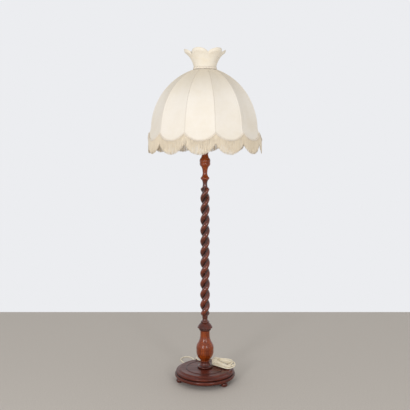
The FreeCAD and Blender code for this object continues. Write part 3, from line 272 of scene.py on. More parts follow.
def wood(name, colours, grain, painted_light=None, roughness=(0.26, 0.4), coat=(0.3, 0.12), ior=1.36):
    """French-polished hardwood: streaks along the grain, fine pores, and a clear coat over them."""
    weight, haze = coat
    material, tree, shader = new_material(name, coat_weight=weight, coat_roughness=haze, coat_ior=1.4, ior=ior)
    dark, middle, light = colours
    long_streak = tuple(0.035 if axis == grain else 1 for axis in range(3))
    broad = tuple(0.2 if axis == grain else 1 for axis in range(3))
    streaks = speckle(tree, place_in(tree, long_streak), 330, 6, 0.6, 0.25)
    figure = speckle(tree, place_in(tree, broad), 34, 3, 0.5, 0.6)
    pores = speckle(tree, place_in(tree, long_streak), 1500, 2, 0.5)
    tone = ramp(tree, streaks, (0.3, dark), (0.5, middle), (0.72, light))
    cloudy = blend(tree, level(tree, figure, 0.35, 0.7, 0.0, 0.55), tone, dark)
    pored = blend(tree, level(tree, pores, 0.6, 0.72, 0.0, 0.5), cloudy, dark)
    # Where one is given, the last function paints shade into grooves and hollows, and on some pieces painted
    # highlights onto edges and crests.
    finished = painted_light(tree, pored, dark, light) if painted_light else pored
    tree.links.new(finished, shader.inputs["Base Color"])
    tree.links.new(level(tree, figure, 0.2, 0.8, *roughness), shader.inputs["Roughness"])
    bump(tree, shader, pores, 0.00012, 0.5)
    return material


# How much of the dark wood's light is left in its painted shade: in grooves, in hollows and round the base's foot.
GROOVE_SHADE = 0.3
TWIST_HOLLOW_SHADE = 0.35


def base_painted_light(tree, colour, dark, light):
    """Painted shade in the base's grooves, its ring line and round its foot; lighter bead edges, part rubbed wear
    and part painted highlight.
    """
    radius, height = from_axis(tree)
    # Painted shade: the ring line, the groove between the outer beads and the ground round the foot are darkened.
    ring = band(tree, radius, 0.096, 0.0045)
    groove = sums(tree, "MULTIPLY", band(tree, height, 0.0425, 0.004), level(tree, radius, 0.135, 0.145))
    foot = band(tree, radius, 0.0375, 0.006)
    hollows = sums(tree, "MAXIMUM", ring, sums(tree, "MAXIMUM", groove, foot))
    shaded = blend(tree, sums(tree, "MULTIPLY", hollows, 0.75), colour, darker(dark, GROOVE_SHADE))
    # Painted highlight on the bead edges, made patchy like rubbed wear, so part of it is wear.
    edges = sums(tree, "MAXIMUM", band(tree, radius, 0.1295, 0.0035), level(tree, radius, 0.1535, 0.157))
    patchy = level(tree, speckle(tree, place_in(tree), 55, 4, 0.6), 0.42, 0.66)
    return blend(tree, sums(tree, "MULTIPLY", sums(tree, "MULTIPLY", edges, patchy), 0.55), shaded, light)


def twist_painted_light(tree, colour, dark, light):
    """Painted shade down in the twist's hollows, though not on its two necks, and painted highlights on its crests.
    """
    radius, height = from_axis(tree)
    necks = sums(tree, "MAXIMUM", level(tree, height, 0.335, 0.35, 1.0, 0.0), level(tree, height, 0.99, 1.005))
    # Painted shade in the hollows between the strands.
    hollow = level(tree, radius, 0.0125, 0.0195, 0.85, 0.0)
    hollow = sums(tree, "MULTIPLY", hollow, sums(tree, "SUBTRACT", 1.0, necks))
    shaded = blend(tree, hollow, colour, darker(dark, TWIST_HOLLOW_SHADE))
    # Painted highlight on the strands' crests.
    return blend(tree, level(tree, radius, 0.0215, 0.0252, 0.0, 0.35), shaded, light)


def turned_painted_shade(bands):
    """Painted shade in the grooves between turnings, at given heights."""
    def painted_light(tree, colour, dark, light):
        _, height = from_axis(tree)
        grooves = None
        for centre, width in bands:
            groove = band(tree, height, centre, width)
            grooves = groove if grooves is None else sums(tree, "MAXIMUM", grooves, groove)
        # Painted shade: the grooves are darkened.
        return blend(tree, sums(tree, "MULTIPLY", grooves, 0.75), colour, darker(dark, GROOVE_SHADE))
    return painted_light


def metal(name, colour, roughness, stain):
    """Metal with stained, duller patches."""
    material, tree, shader = new_material(name, metallic=1.0)
    patches = speckle(tree, place_in(tree), 180, 5, 0.6)
    tree.links.new(ramp(tree, patches, (0.35, stain), (0.6, colour)), shader.inputs["Base Color"])
    tree.links.new(level(tree, patches, 0.3, 0.7, roughness + 0.18, roughness), shader.inputs["Roughness"])
    fine = speckle(tree, place_in(tree), 900, 2)
    bump(tree, shader, fine, 0.00008, 0.3)
    return material


def plain(name, colour, roughness, scale=700, depth=0.00006, mottle=0.12, **sockets):
    """Moulded, painted or glazed stuff: an even colour with faint mottling and a fine skin."""
    material, tree, shader = new_material(name, **sockets)
    cloud = speckle(tree, place_in(tree), 60, 3)
    shade = darker(colour, 1 - mottle)
    tree.links.new(ramp(tree, cloud, (0.35, shade), (0.65, colour)), shader.inputs["Base Color"])
    tree.links.new(level(tree, cloud, 0.3, 0.7, roughness, roughness * 1.3), shader.inputs["Roughness"])
    bump(tree, shader, speckle(tree, place_in(tree), scale, 2), depth, 0.4)
    return material


# Beige towards the shade's neck: part dust, part painted shade where the upward-facing cloth gets less light.
DUST_AND_SHADE = srgb(226, 214, 192)


def woven(name, colour, aged, pitch, age_scale=9, tinted=False, dust_and_shade_above=0.0):
    """Plain-woven cloth: crossed threads in the piece's own UVs, slubs, uneven ageing, and above a height a beige
    tone that is part dust, part painted shade.
    """
    material, tree, shader = new_material(name, roughness=0.92, sheen_weight=0.2, sheen_roughness=0.5)
    warp, weft = (
        add(tree, "TexWave", {
            "Vector": place_in(tree, (1, 1, 1), "UV"), "Scale": 1 / pitch / 3.1, "Distortion": 0.6,
            "Detail": 1, "Detail Scale": 3,
        }, wave_type="BANDS", bands_direction=direction).outputs["Fac"]
        for direction in "XY"
    )
    threads = sums(tree, "MULTIPLY", warp, weft)
    slubs = speckle(tree, place_in(tree, (1, 0.08, 1), "UV"), 420, 3)
    age = speckle(tree, place_in(tree), age_scale, 4, 0.6)
    tone = blend(tree, level(tree, age, 0.35, 0.72, 0.0, 0.5), colour, aged)
    tone = blend(tree, level(tree, slubs, 0.56, 0.7, 0.0, 0.25), tone, aged)
    # Above the height: part dust and part painted shade.
    if dust_and_shade_above:
        _, height = from_axis(tree)
        tone = blend(tree, level(tree, height, dust_and_shade_above, dust_and_shade_above + 0.16, 0.0, 0.75), tone, DUST_AND_SHADE)
    if tinted:
        tint = add(tree, "Attribute", attribute_name="tint").outputs["Color"]
        tone = blend(tree, 1.0, tone, tint, "MULTIPLY")
    woven_tone = blend(tree, level(tree, threads, 0.0, 0.6, 0.1, 0.0), tone, aged)
    tree.links.new(woven_tone, shader.inputs["Base Color"])
    relief = sums(tree, "ADD", threads, sums(tree, "MULTIPLY", slubs, 0.5))
    bump(tree, shader, relief, 0.00025, 0.35)
    return material


def spun(name, colour, shade, turns=260):
    """Twisted silky thread: a slanting ply along each thread, tinted thread by thread."""
    material, tree, shader = new_material(name, roughness=0.62, sheen_weight=0.9, sheen_roughness=0.45)
    ply = add(tree, "TexWave", {
        "Vector": place_in(tree, (1, turns, 1), "UV"), "Scale": 1.0, "Distortion": 0.4,
    }, wave_type="BANDS", bands_direction="DIAGONAL").outputs["Fac"]
    tint = add(tree, "Attribute", attribute_name="tint").outputs["Color"]
    tone = blend(tree, level(tree, ply, 0.0, 1.0, 0.4, 0.0), colour, shade)
    tree.links.new(blend(tree, 1.0, tone, tint, "MULTIPLY"), shader.inputs["Base Color"])
    bump(tree, shader, ply, 0.0003, 0.5)
    return material


def make_materials():
    dark = (srgb(50, 16, 9), srgb(96, 38, 24), srgb(128, 60, 42))
    amber = (srgb(76, 22, 3), srgb(142, 58, 12), srgb(192, 96, 30))
    twist = (srgb(44, 12, 4), srgb(96, 34, 10), srgb(150, 66, 26))
    return {
        "base": wood("dark_mahogany_base", dark, 0, base_painted_light, (0.34, 0.5), (0.34, 0.2), 1.28),
        "dark": wood("dark_mahogany", dark, 2, turned_painted_shade([(0.0665, 0.004), (0.0775, 0.003), (0.269, 0.003)])),
        "feet": wood("dark_mahogany_feet", dark, 2, turned_painted_shade([(0.0225, 0.004)])),
        "amber": wood("amber_mahogany", amber, 2, turned_painted_shade([(0.099, 0.006), (0.262, 0.004), (1.036, 0.003)]),
                      (0.22, 0.36), (0.5, 0.1)),
        "twist": wood("amber_mahogany_twist", twist, 2, twist_painted_light, (0.22, 0.34), (0.75, 0.09), 1.42),
        "steel": metal("zinc_steel", srgb(168, 170, 172), 0.34, srgb(120, 116, 110)),
        "brass": metal("aged_brass", srgb(196, 158, 84), 0.28, srgb(132, 98, 48)),
        "porcelain": plain("glazed_porcelain", srgb(232, 228, 218), 0.18, coat_weight=0.5),
        "black": plain("black_bakelite", srgb(28, 24, 22), 0.32, mottle=0.3),
        "white": plain("white_plastic", srgb(252, 249, 240), 0.34),
        "wire": plain("painted_wire", srgb(226, 222, 212), 0.45, 400, 0.0001, 0.2),
        "glass": plain("frosted_glass", srgb(240, 238, 232), 0.42, 900, 0.00005, 0.04, subsurface_weight=0.2),
        "cloth": woven("cream_cloth", srgb(251, 245, 236), srgb(242, 232, 214), 0.0007, dust_and_shade_above=1.42),
        "crown": woven("cream_crown_cloth", srgb(252, 245, 232), srgb(244, 232, 210), 0.0007, 30, True),
        "braid": spun("cream_braid", srgb(255, 246, 232), srgb(252, 234, 212)),
        "fringe": spun("cream_fringe", srgb(255, 244, 222), srgb(255, 232, 204)),
        "flex": plain("cream_flex", srgb(253, 244, 222), 0.42, 500, 0.0001, 0.1),
    }


# ---------------------------------------------------------------- flex, hank and plug


FLEX_RADIUS = 2.8
END_HEADING = Vector((-math.cos(math.radians(24)), math.sin(math.radians(24)), 0))
RUN_ROUTE = [
    (0, 0, 26), (0, 0, 14), (-4, 8, 5), (-14, 25, 3), (-28, 55, 3), (-38, 96, 3), (-54, 140, 3), (-79, 182, 3),
    (-106, 222, 3), (-128, 256, 3), (-138, 290, 3), (-130, 320, 3), (-106, 337, 3), (-80, 326, 3), (-66, 300, 3),
    (-58, 268, 3), (-54, 232, 3), (-51, 204, 3), (-50, 184, 9), (-49, 169, 27), (-49, 158, 49), (-48, 145, 68),
    (-46, 124, 74.5), (-41, 104, 70), (-24, 91, 69.2), (-5, 84, 69.6), (11, 76, 73), (21, 65, 81), (25, 51, 90),
    (29, 36, 96),
]
HANK_PLACE = Vector((85.4, 17.3, 69.38))
HANK_ANGLE = math.radians(-24)
HANK_LOOPS = 8
HANK_PER_LAYER = 2
HANK_SWAY = (-2, 3, -1, 1)
LAYER_HEIGHT = 7
TIED_PLACE, OPEN_PLACE = -28, 30
TIED_HALF, OPEN_HALF, LOOP_STEP = 11.8, 22, 6.7
# The lead leaves the hank this much of a turn before its last loop ends, and runs straight for 14 mm.
LEAD_BACK = 5 / 12
LEAD_LIFT, LEAD_STRAIGHT = 28, 14
TIE_TURNS, TIE_STEPS, TIE_FROM, TIE_TO = 4, 12, -44, -16
TIE_HALF, TIE_FOOT, TIE_TOP, TIE_RADIUS = 27.5, -0.6, 33, 2.2
SLEEVE_LENGTH, SLEEVE_SIDES = 20, 16
SLEEVE_RADII = (5.2, 3.3)
SLEEVE_RIB, SLEEVE_RIB_TURN = 0.25, 2.1
ARC_TURNS = (15, 45, 75, 105, 135, 165)
CORNER_REACH = 1 / math.cos(math.radians(15))
# How each loop of the hank differs at its open end: further out, near side out and down, far side out and up.
LOOP_LEAN = (
    (-8, -3, 0, -1, 0), (2, -3, 0, 2, 0), (9, 8, 6.5, 6, 3), (-2, 7, 7, -4, -1),
    (5, 1, 8, 5, -3), (-9, 0, 8, -3, 4), (9, 6, 9, -5, -3), (0, -1, 9, 8, 4),
)
# And at its tied end: wider, and higher.
LOOP_BUNCH = ((0, 0), (1, 1), (-1, 4), (2, 1), (-2, 5), (0, 3), (-2, 8), (1, 6))


def hank_place(along, across, lift):
    """A point of the hank's own frame: along it, across it, and up."""
    cosine, sine = math.cos(HANK_ANGLE), math.sin(HANK_ANGLE)
    return HANK_PLACE + Vector((along * cosine - across * sine, along * sine + across * cosine, lift))


def hank_turn(loop):
    """Half widths and layer of a loop; a part of a loop is a part of a turn."""
    layer = min(max(math.floor(loop / HANK_PER_LAYER), 0), HANK_LOOPS // HANK_PER_LAYER - 1)
    within = abs((loop + HANK_PER_LAYER) % (2 * HANK_PER_LAYER) - HANK_PER_LAYER) if loop > 0 else loop
    return TIED_HALF + LOOP_STEP * within, OPEN_HALF + LOOP_STEP * within, layer


def hank_points():
    """Twelve points to a loop, wound from the plug outwards and up, as the photograph's bundle lies."""
    points = [hank_place(0, 0, 0), hank_place(-10, -1, 0)]
    steps = len(ARC_TURNS)
    for half in range(2 * HANK_LOOPS):
        for step, turn in enumerate(ARC_TURNS):
            # The bend at each end takes a third of a turn, and the runs between the ends take the rest.
            loop = half / 2 - 0.25 + ((step + 0.5) / steps - 0.5) / 3
            narrow, wide, layer = hank_turn(loop)
            angle = math.radians(turn)
            lift = layer * LAYER_HEIGHT
            if half % 2:
                further, near_out, near_down, far_out, far_up = LOOP_LEAN[half // 2]
                near = (1 - math.cos(angle)) / 2
                sway = HANK_SWAY[layer % len(HANK_SWAY)]
                along = OPEN_PLACE + (wide - sway / 2 + further) * math.sin(angle) * CORNER_REACH
                across = sway + (wide + spread(far_out, near_out, near)) * math.cos(angle) * CORNER_REACH
                lift += spread(far_up, -near_down, near)
            else:
                wider, higher = LOOP_BUNCH[half // 2]
                along = TIED_PLACE - (narrow + wider) * math.sin(angle) * CORNER_REACH
                across = -(narrow + wider) * math.cos(angle) * CORNER_REACH
                lift += higher
            points.append(hank_place(along, across, lift))
    return points


def curve_object(name, points, radius, cyclic=False):
    """A smooth round cord whose control points are given in millimetres."""
    data = bpy.data.curves.new(name, "CURVE")
    data.dimensions = "3D"
    spline = data.splines.new("NURBS")
    spline.points.add(len(points) - 1)
    for point, place in zip(spline.points, points):
        point.co = (*(Vector(place) * MM), 1)
    spline.use_cyclic_u = cyclic
    spline.use_endpoint_u = not cyclic
    spline.order_u = 3
    spline.resolution_u = 8
    data.bevel_depth = radius * MM
    data.bevel_resolution = 4
    data.use_fill_caps = not cyclic
    return bpy.data.objects.new(name, data)


def line_of(points):
    """The smooth line that a cord's control points make, in millimetres."""
    bare = curve_object("bare_line", points, 0)
    bpy.context.scene.collection.objects.link(bare)
    mesh = bpy.data.meshes.new_from_object(bare)
    line = [vertex.co / MM for vertex in mesh.vertices]
    bpy.data.objects.remove(bare)
    return line


def make_relief(line, materials):
    """The plug's ribbed sleeve, tapering along the flex from its plug end."""
    sleeve, radii, run = [], [], 0.0
    for index, place in enumerate(line):
        if index:
            run += (place - line[index - 1]).length
        if run > SLEEVE_LENGTH:
            break
        sleeve.append(place)
        ribbed = SLEEVE_RIB * math.cos(run * SLEEVE_RIB_TURN)
        radii.append(spread(*SLEEVE_RADII, run / SLEEVE_LENGTH) + ribbed)
    tube = Threads()
    tube.add(sleeve, radii, SLEEVE_SIDES)
    return dress(tube.piece("plug_strain_relief"), "lamp", materials["white"])


def squarish(value):
    """A sine or cosine with its flanks filled out, for a loop between a circle and a square."""
    return math.copysign(abs(value) ** 0.7, value)


def make_tie(materials):
    """Wraps of flex round the hank's tied end."""
    points = []
    for step in range(TIE_TURNS * TIE_STEPS + 1):
        angle = 2 * math.pi * step / TIE_STEPS
        along = spread(TIE_FROM, TIE_TO, step / (TIE_TURNS * TIE_STEPS)) + 1.2 * math.sin(step * 0.9)
        half = math.sqrt(TIE_HALF**2 - min(along - TIED_PLACE, 0) ** 2)
        across = half * squarish(math.cos(angle))
        share = (squarish(math.sin(angle)) + 1) / 2
        points.append(hank_place(along, across, spread(TIE_FOOT, TIE_TOP + 2 * math.sin(step), share)))
    return dress(curve_object("hank_tie", points, TIE_RADIUS), "lamp", materials["flex"])


def make_cord(materials):
    """The whole flex from under the base to its plug, with the plug's sleeve and the wraps round the hank."""
    lead_out = hank_place(TIED_PLACE, -hank_turn(HANK_LOOPS - LEAD_BACK)[0], LEAD_LIFT)
    points = [Vector(place) for place in RUN_ROUTE]
    points += [lead_out + END_HEADING * LEAD_STRAIGHT, lead_out]
    points += list(reversed(hank_points()))
    flex = dress(curve_object("mains_flex", points, FLEX_RADIUS), "lamp", materials["flex"],
                 ("cord_run", "cord_hank"))
    line = line_of(points)
    length = sum((b - a).length for a, b in zip(line, line[1:])) * MM
    relief = make_relief(list(reversed(line)), materials)
    tie = make_tie(materials)
    Vector(RUN_ROUTE[0]) * MM


def make_inner_flex(materials):
    """The flex inside the column, from end to end of its solid."""
    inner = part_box("inner_flex")
    foot, head = inner[0].z / MM + 1, inner[1].z / MM - 1
    points = [(0, 0, spread(foot, head, share)) for share in (0, 0.3, 0.7, 1)]
    inside = curve_object("flex_in_column", points, FLEX_RADIUS)
    dress(inside, "lamp", materials["flex"], ("inner_flex",))


# ---------------------------------------------------------------- shade


RIB_COUNT = 12
RIB_ANGLE = 10
HALF_PANEL = math.pi / RIB_COUNT
CLOTH_OFFSET, CLOTH_THICKNESS = 2.6, 0.9
SEWN_WITHIN = 0.02
# Each gore rises to a ridge over its seam, dips beside it, and has neither in its first millimetres.
SEAM_RIDGE, SEAM_DIP, SEAM_FROM = 0.9, 0.5, 8
NECK_START = (55.2, 1575.5)
WALL = (264.5, 1300)
RIM = (273, 1269)
DOME_BULGE, FLARE_BULGE = -0.306, 0.11
SCALLOP_DROP, SCALLOP_FLARE = 34, 12.5
PANEL_HOLLOW = 4.5
DOME_ROWS, FLARE_ROWS, HEM_ROWS = 44, 6, 8
PANEL_COLUMNS = (-1, -0.985, -0.965, -0.93, -0.87, -0.78, -0.66, -0.52, -0.36, -0.18, 0)


def bowed(start, end, bulge, steps):
    """(radius, height, outward radius, outward height) along an arc in the upright plane."""
    across, up = end[0] - start[0], end[1] - start[1]
    chord = math.hypot(across, up)
    half_turn = 2 * math.atan(bulge)
    radius = chord / 2 / math.sin(half_turn)
    right = (up / chord, -across / chord)
    centre = ((start[0] + end[0]) / 2 - right[0] * radius * math.cos(half_turn),
              (start[1] + end[1]) / 2 - right[1] * radius * math.cos(half_turn))
    places = []
    for step in range(steps + 1):
        turn = half_turn * (2 * step / steps - 1)
        cosine, sine = math.cos(turn), math.sin(turn)
        towards = (right[0] * cosine + across / chord * sine, right[1] * cosine + up / chord * sine)
        place = (centre[0] + towards[0] * radius, centre[1] + towards[1] * radius)
        outward = (-towards[0], -towards[1])
        if outward[0] < 0:
            outward = towards
        places.append((*place, *outward))
    return places


def scallop(share):
    """How far down a scallop hangs at a share of its half width: 0 at the ribs, 1 in the middle."""
    half = RIM[0] * math.sin(HALF_PANEL)
    radius = (half**2 + SCALLOP_DROP**2) / (2 * SCALLOP_DROP)
    return (math.sqrt(radius**2 - (share * half) ** 2) - (radius - SCALLOP_DROP)) / SCALLOP_DROP


def hem_point(share, outward=0.0, lift=0.0):
    """A point along one scallop's edge in the panel's own frame: outwards, sideways, up."""
    reach = RIM[0] + CLOTH_OFFSET
    drop = scallop(share)
    return Vector((reach * math.cos(HALF_PANEL) + SCALLOP_FLARE * drop + outward,
                   (reach + outward) * math.sin(HALF_PANEL) * share, RIM[1] - SCALLOP_DROP * drop + lift))


def on_panel(point, panel):
    """A point of a panel's own frame, set at that panel of the shade."""
    turn = math.radians(RIB_ANGLE + 360 / RIB_COUNT * (panel + 0.5) - 90)
    cosine, sine = math.cos(turn), math.sin(turn)
    return Vector((point.x * cosine - point.y * sine, point.x * sine + point.y * cosine, point.z))


def panel_grid(panel):
    """Rows of points down one gore: bent over the dome, gently hollow, lipped over the seams."""
    columns = list(PANEL_COLUMNS) + [-share for share in reversed(PANEL_COLUMNS[:-1])]
    profile = bowed(NECK_START, WALL, DOME_BULGE, DOME_ROWS)
    profile += bowed(WALL, RIM, FLARE_BULGE, FLARE_ROWS)[1:]
    rows, run = [], 0.0
    for index, (radius, height, out, over) in enumerate(profile):
        if index:
            run += math.hypot(radius - profile[index - 1][0], height - profile[index - 1][1])
        share_down = index / DOME_ROWS
        hollow = PANEL_HOLLOW * math.sin(math.pi * share_down) ** 0.8 if share_down < 1 else 0.0
        row = []
        for share in columns:
            ridge = SEAM_RIDGE * eased(0.955, 0.995, abs(share)) - SEAM_DIP * eased(0.86, 0.94, abs(share))
            reach = radius + out * CLOTH_OFFSET
            ripple = noise.noise(Vector((panel * 7.3 + share * 2.2, run * 0.011, 3.7))) * 0.9
            pull = noise.noise(Vector((panel * 3.1 + share * 9, run * 0.03, 9.1))) * 0.25
            inward = (hollow + ripple + pull) * (1 - share * share) - ridge * (run > SEAM_FROM)
            row.append((Vector((reach * math.cos(HALF_PANEL) - out * inward,
                                reach * math.sin(HALF_PANEL) * share,
                                height + over * CLOTH_OFFSET - over * inward)),
                        (share * radius * math.sin(HALF_PANEL) * MM, run * MM)))
        rows.append(row)
    for step in range(1, HEM_ROWS + 1):
        part = step / HEM_ROWS
        row = []
        for share in columns:
            low = hem_point(share)
            top = rows[DOME_ROWS + FLARE_ROWS][columns.index(share)][0]
            row.append((top.lerp(low, part), (share * RIM[0] * math.sin(HALF_PANEL) * MM,
                                              (run + part * SCALLOP_DROP * scallop(share)) * MM)))
        rows.append(row)
    return rows


def make_shade_cloth(materials):
    corners, faces, uvs = [], [], []
    for panel in range(RIB_COUNT):
        rows = panel_grid(panel)
        first, width = len(corners), len(rows[0])
        for row in rows:
            for place, uv in row:
                corners.append(on_panel(place, panel))
                uvs.append((uv[0] + panel * 0.2, uv[1]))
        for index in range(len(rows) - 1):
            for column in range(width - 1):
                start = first + index * width + column
                faces.append((start, start + 1, start + 1 + width, start + width))
    cloth = mesh_object("shade_cloth", corners, faces, uvs)
    welded = cloth.modifiers.new("sewn", "WELD")
    welded.merge_threshold = SEWN_WITHIN * MM
    body = cloth.modifiers.new("thickness", "SOLIDIFY")
    body.thickness, body.offset = CLOTH_THICKNESS * MM, -1
    return dress(cloth, "shade", materials["cloth"], ("shade_panels",))


STRAND_GAP = 1.65
STRAND_LENGTH = 69
STRAND_AT_RIBS = 54
# Each row of threads: how far out from the hem, and its radius. Then how a thread thickens and thins downwards.
STRAND_ROWS = ((1.1, 0.62), (2.5, 0.66))
STRAND_TAPER = (1.0, 1.0, 1.05, 1.1, 1.1, 1.15, 0.75)
# Wave length, half width, depth and strand radius of the braid on the rim, and how far out it lies.
RIM_BRAID, RIM_BRAID_OUT = (8.5, 2.9, 0.7, 0.95), 3.9
BRAID_STEPS = 8


def runs_along(places):
    """How far along a line of places each one is."""
    runs = [0.0]
    for before, after in zip(places, places[1:]):
        runs.append(runs[-1] + (after - before).length)
    return runs


def even_shares(gap):
    """Shares along a scallop that are evenly spaced along its curve."""
    fine = [index / 200 - 1 for index in range(401)]
    runs = runs_along([hem_point(share) for share in fine])
    count = round(runs[-1] / gap)
    shares, index = [], 0
    for step in range(count):
        wanted = runs[-1] * (step + 0.5) / count
        while runs[index + 1] < wanted:
            index += 1
        within = (wanted - runs[index]) / (runs[index + 1] - runs[index])
        shares.append(spread(fine[index], fine[index + 1], within))
    return shares


def make_fringe(materials):
    """Cut silk fringe: two rows of hanging threads along the scallops, each a little different."""
    threads = Threads()
    for panel in range(RIB_COUNT):
        for layer, (out, radius) in enumerate(STRAND_ROWS):
            for share in even_shares(STRAND_GAP):
                share += random.uniform(-0.004, 0.004)
                length = spread(STRAND_AT_RIBS, STRAND_LENGTH, scallop(min(abs(share), 1)) ** 0.8)
                length += random.uniform(-2.4, 1.6)
                sway, kick = random.uniform(-1.7, 1.7), random.uniform(-0.6, 1.2)
                wander = random.uniform(0, 6)
                line, radii = [], []
                for step, thickness in enumerate(STRAND_TAPER):
                    part = step / (len(STRAND_TAPER) - 1)
                    start = hem_point(max(min(share, 0.998), -0.998), out, 3)
                    start.y += sway * part**1.5 + 0.5 * math.sin(wander + part * 5)
                    start.x += kick * part
                    start.z -= length * part
                    line.append(on_panel(start, panel))
                    radii.append(radius * thickness)
                # The inner row, behind the outer one, is painted 2% darker: painted shade.
                tint = random.uniform(0.94, 1.0) * (0.98 if layer == 0 else 1)
                threads.add(line, radii, 4, tint)
    return dress(threads.piece("silk_fringe"), "shade", materials["fringe"], ("fringe",))


def braid(threads, place, length, wave, half_width, depth, radius, closed=False):
    """Three plaited strands along a path: place(run, across, out) gives each point."""
    waves = max(round(length / wave), 1)
    steps = waves * BRAID_STEPS
    for strand in range(3):
        line, count = [], steps if closed else steps + 1
        for step in range(count):
            turn = 2 * math.pi * (step / BRAID_STEPS + strand / 3)
            line.append(place(length * step / steps, half_width * math.sin(turn), depth * math.sin(2 * turn)))
        threads.add(line, [radius] * len(line), 5, 0.94 + 0.03 * strand, closed)


def make_braids(materials):
    rim = Threads()
    shares = [-0.999, *even_shares(0.5), 0.999]
    places = [hem_point(share) for share in shares]
    runs = runs_along(places)

    def on_rim(panel):
        def place(run, across, out):
            index = min(int(run / runs[-1] * (len(runs) - 1)), len(runs) - 2)
            while index and runs[index] > run:
                index -= 1
            while index < len(runs) - 2 and runs[index + 1] < run:
                index += 1
            within = (run - runs[index]) / (runs[index + 1] - runs[index])
            point = hem_point(spread(shares[index], shares[index + 1], within), RIM_BRAID_OUT + out)
            ahead = (places[index + 1] - places[index]).normalized()
            up = Vector((0, -ahead.z, ahead.y)).normalized()
            return on_panel(point + up * across, panel)
        return place

    for panel in range(RIB_COUNT):
        braid(rim, on_rim(panel), runs[-1], *RIM_BRAID)
    rim_piece = dress(rim.piece("rim_braid"), "shade", materials["braid"], ("rim_gimp",))

    neck_low, neck_high = (corner.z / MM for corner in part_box("neck_gimp"))
    neck_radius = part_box("neck_gimp")[1].x / MM - 0.6
    middle = (neck_low + neck_high) / 2 + 1.5

    def on_neck(run, across, out):
        return compass(neck_radius + out, math.degrees(run / neck_radius), middle + across)

    neck = Threads()
    half_width = (neck_high - neck_low) / 2 + 0.8
    braid(neck, on_neck, 2 * math.pi * neck_radius, 8, half_width, 0.6, 1.2, closed=True)
    neck_piece = dress(neck.piece("neck_braid"), "shade", materials["braid"], ("neck_gimp",))
    return rim_piece, neck_piece


CROWN_PETALS = 6
CROWN_ANGLE = 10
CROWN_FOOT = 1577.9
CROWN_CENTRE = 150.8
CROWN_CURL = 99.8
CROWN_VALLEY, CROWN_TIP = 41, 57
# How far outside its wires the crown's cloth lies, and how far past them, in degrees, the flare goes on.
CROWN_CLOTH, CROWN_PAST = 2.4, 0.7
CROWN_ROWS = 26
CROWN_COLUMNS = 20
LIP_HEIGHT, LIP_ROWS = 15, 6
# The columns of the crown whose edge is worn, and how much darker each is.
WORN_SPOTS = {99: 0.35, 100: 0.7, 101: 0.4, 0: 0.35, 20: 0.2, 21: 0.3, 30: 0.2}


def crown_edge(share):
    """How far up the flare, in degrees, a petal's edge is at a share of its half width."""
    half = math.pi / CROWN_PETALS
    valley = CROWN_CENTRE - CROWN_CURL * math.cos(math.radians(CROWN_VALLEY))
    tip = CROWN_CENTRE - CROWN_CURL * math.cos(math.radians(CROWN_TIP))
    chord, rise = valley * math.sin(half), tip - valley * math.cos(half)
    plan_radius = (chord**2 + rise**2) / (2 * rise)
    plan_centre = tip - plan_radius
    turn = half * share
    reach = plan_centre * math.cos(turn) + math.sqrt(plan_radius**2 - (plan_centre * math.sin(turn)) ** 2)
    return math.degrees(math.acos((CROWN_CENTRE - reach) / CROWN_CURL))


def crown_point(turn, outward):
    reach = CROWN_CURL - outward
    angle = math.radians(turn)
    return CROWN_CENTRE - reach * math.cos(angle), CROWN_FOOT + reach * math.sin(angle)


def make_crown(materials):
    """The flared neck frill: gathered into the neck, cut to six petals, with a bound lip above the wire."""
    corners, faces, uvs, tints = [], [], [], []
    around = CROWN_PETALS * CROWN_COLUMNS
    edge_line = []
    for column in range(around):
        share = 2 * (column % CROWN_COLUMNS) / CROWN_COLUMNS - 1
        top = crown_edge(share) + CROWN_PAST
        direction = CROWN_ANGLE + 360 / CROWN_PETALS * (column / CROWN_COLUMNS)
        gather = math.sin(column * 2.4) * 0.35 + noise.noise(Vector((column * 0.9, 1.3, 0))) * 0.6
        crest = math.cos(math.pi / 2 * share) ** 2
        lip = LIP_HEIGHT * (0.8 + 0.2 * crest) + noise.noise(Vector((column * 0.35, 7.7, 0))) * 1.5
        for row in range(CROWN_ROWS + LIP_ROWS + 1):
            rise = min(row / CROWN_ROWS, 1)
            fade = (1 - rise) ** 1.4
            billow = 0.8 * math.sin(math.pi * rise) * crest
            radius, height = crown_point(top * rise, CROWN_CLOTH + max(gather, -0.4) * fade + billow)
            stood = max(row - CROWN_ROWS, 0) / LIP_ROWS
            radius += lip * (0.55 * stood - 0.3 * stood * stood)
            height += lip * stood * (0.75 + 0.25 * stood)
            corners.append(compass(radius, direction, height))
            run = math.radians(top * rise) * CROWN_CURL + lip * stood
            uvs.append((math.radians(direction) * 80 * MM, run * MM))
            worn = WORN_SPOTS.get(column, 0) * eased(0.3, 1.0, stood)
            # Painted shade: the frill is up to 5% darker low down at its gathered waist; the worn spots are real
            # wear.
            tints.append(1 - 0.05 * fade - worn)
        edge_line.append(corners[-1].copy())
    width = CROWN_ROWS + LIP_ROWS + 1
    for column in range(around):
        beside = (column + 1) % around
        for row in range(width - 1):
            low, next_low = column * width + row, beside * width + row
            faces.append((low, next_low, next_low + 1, low + 1))
    cloth = mesh_object("crown_frill", corners, faces, uvs, tints)
    body = cloth.modifiers.new("thickness", "SOLIDIFY")
    body.thickness, body.offset = CLOTH_THICKNESS * MM, 1
    dress(cloth, "shade", materials["crown"], ("crown_cloth",))
    binding = Threads()
    binding.add(edge_line, [1.3] * len(edge_line), 6, 0.96, closed=True)
    bound = dress(binding.piece("crown_binding"), "shade", materials["braid"])
    return cloth, bound


def make_shade(materials):
    cloth = make_shade_cloth(materials)
    fringe = make_fringe(materials)
    rim_piece, neck_piece = make_braids(materials)
    crown, bound = make_crown(materials)


# ---------------------------------------------------------------- finishes on the CAD's own solids


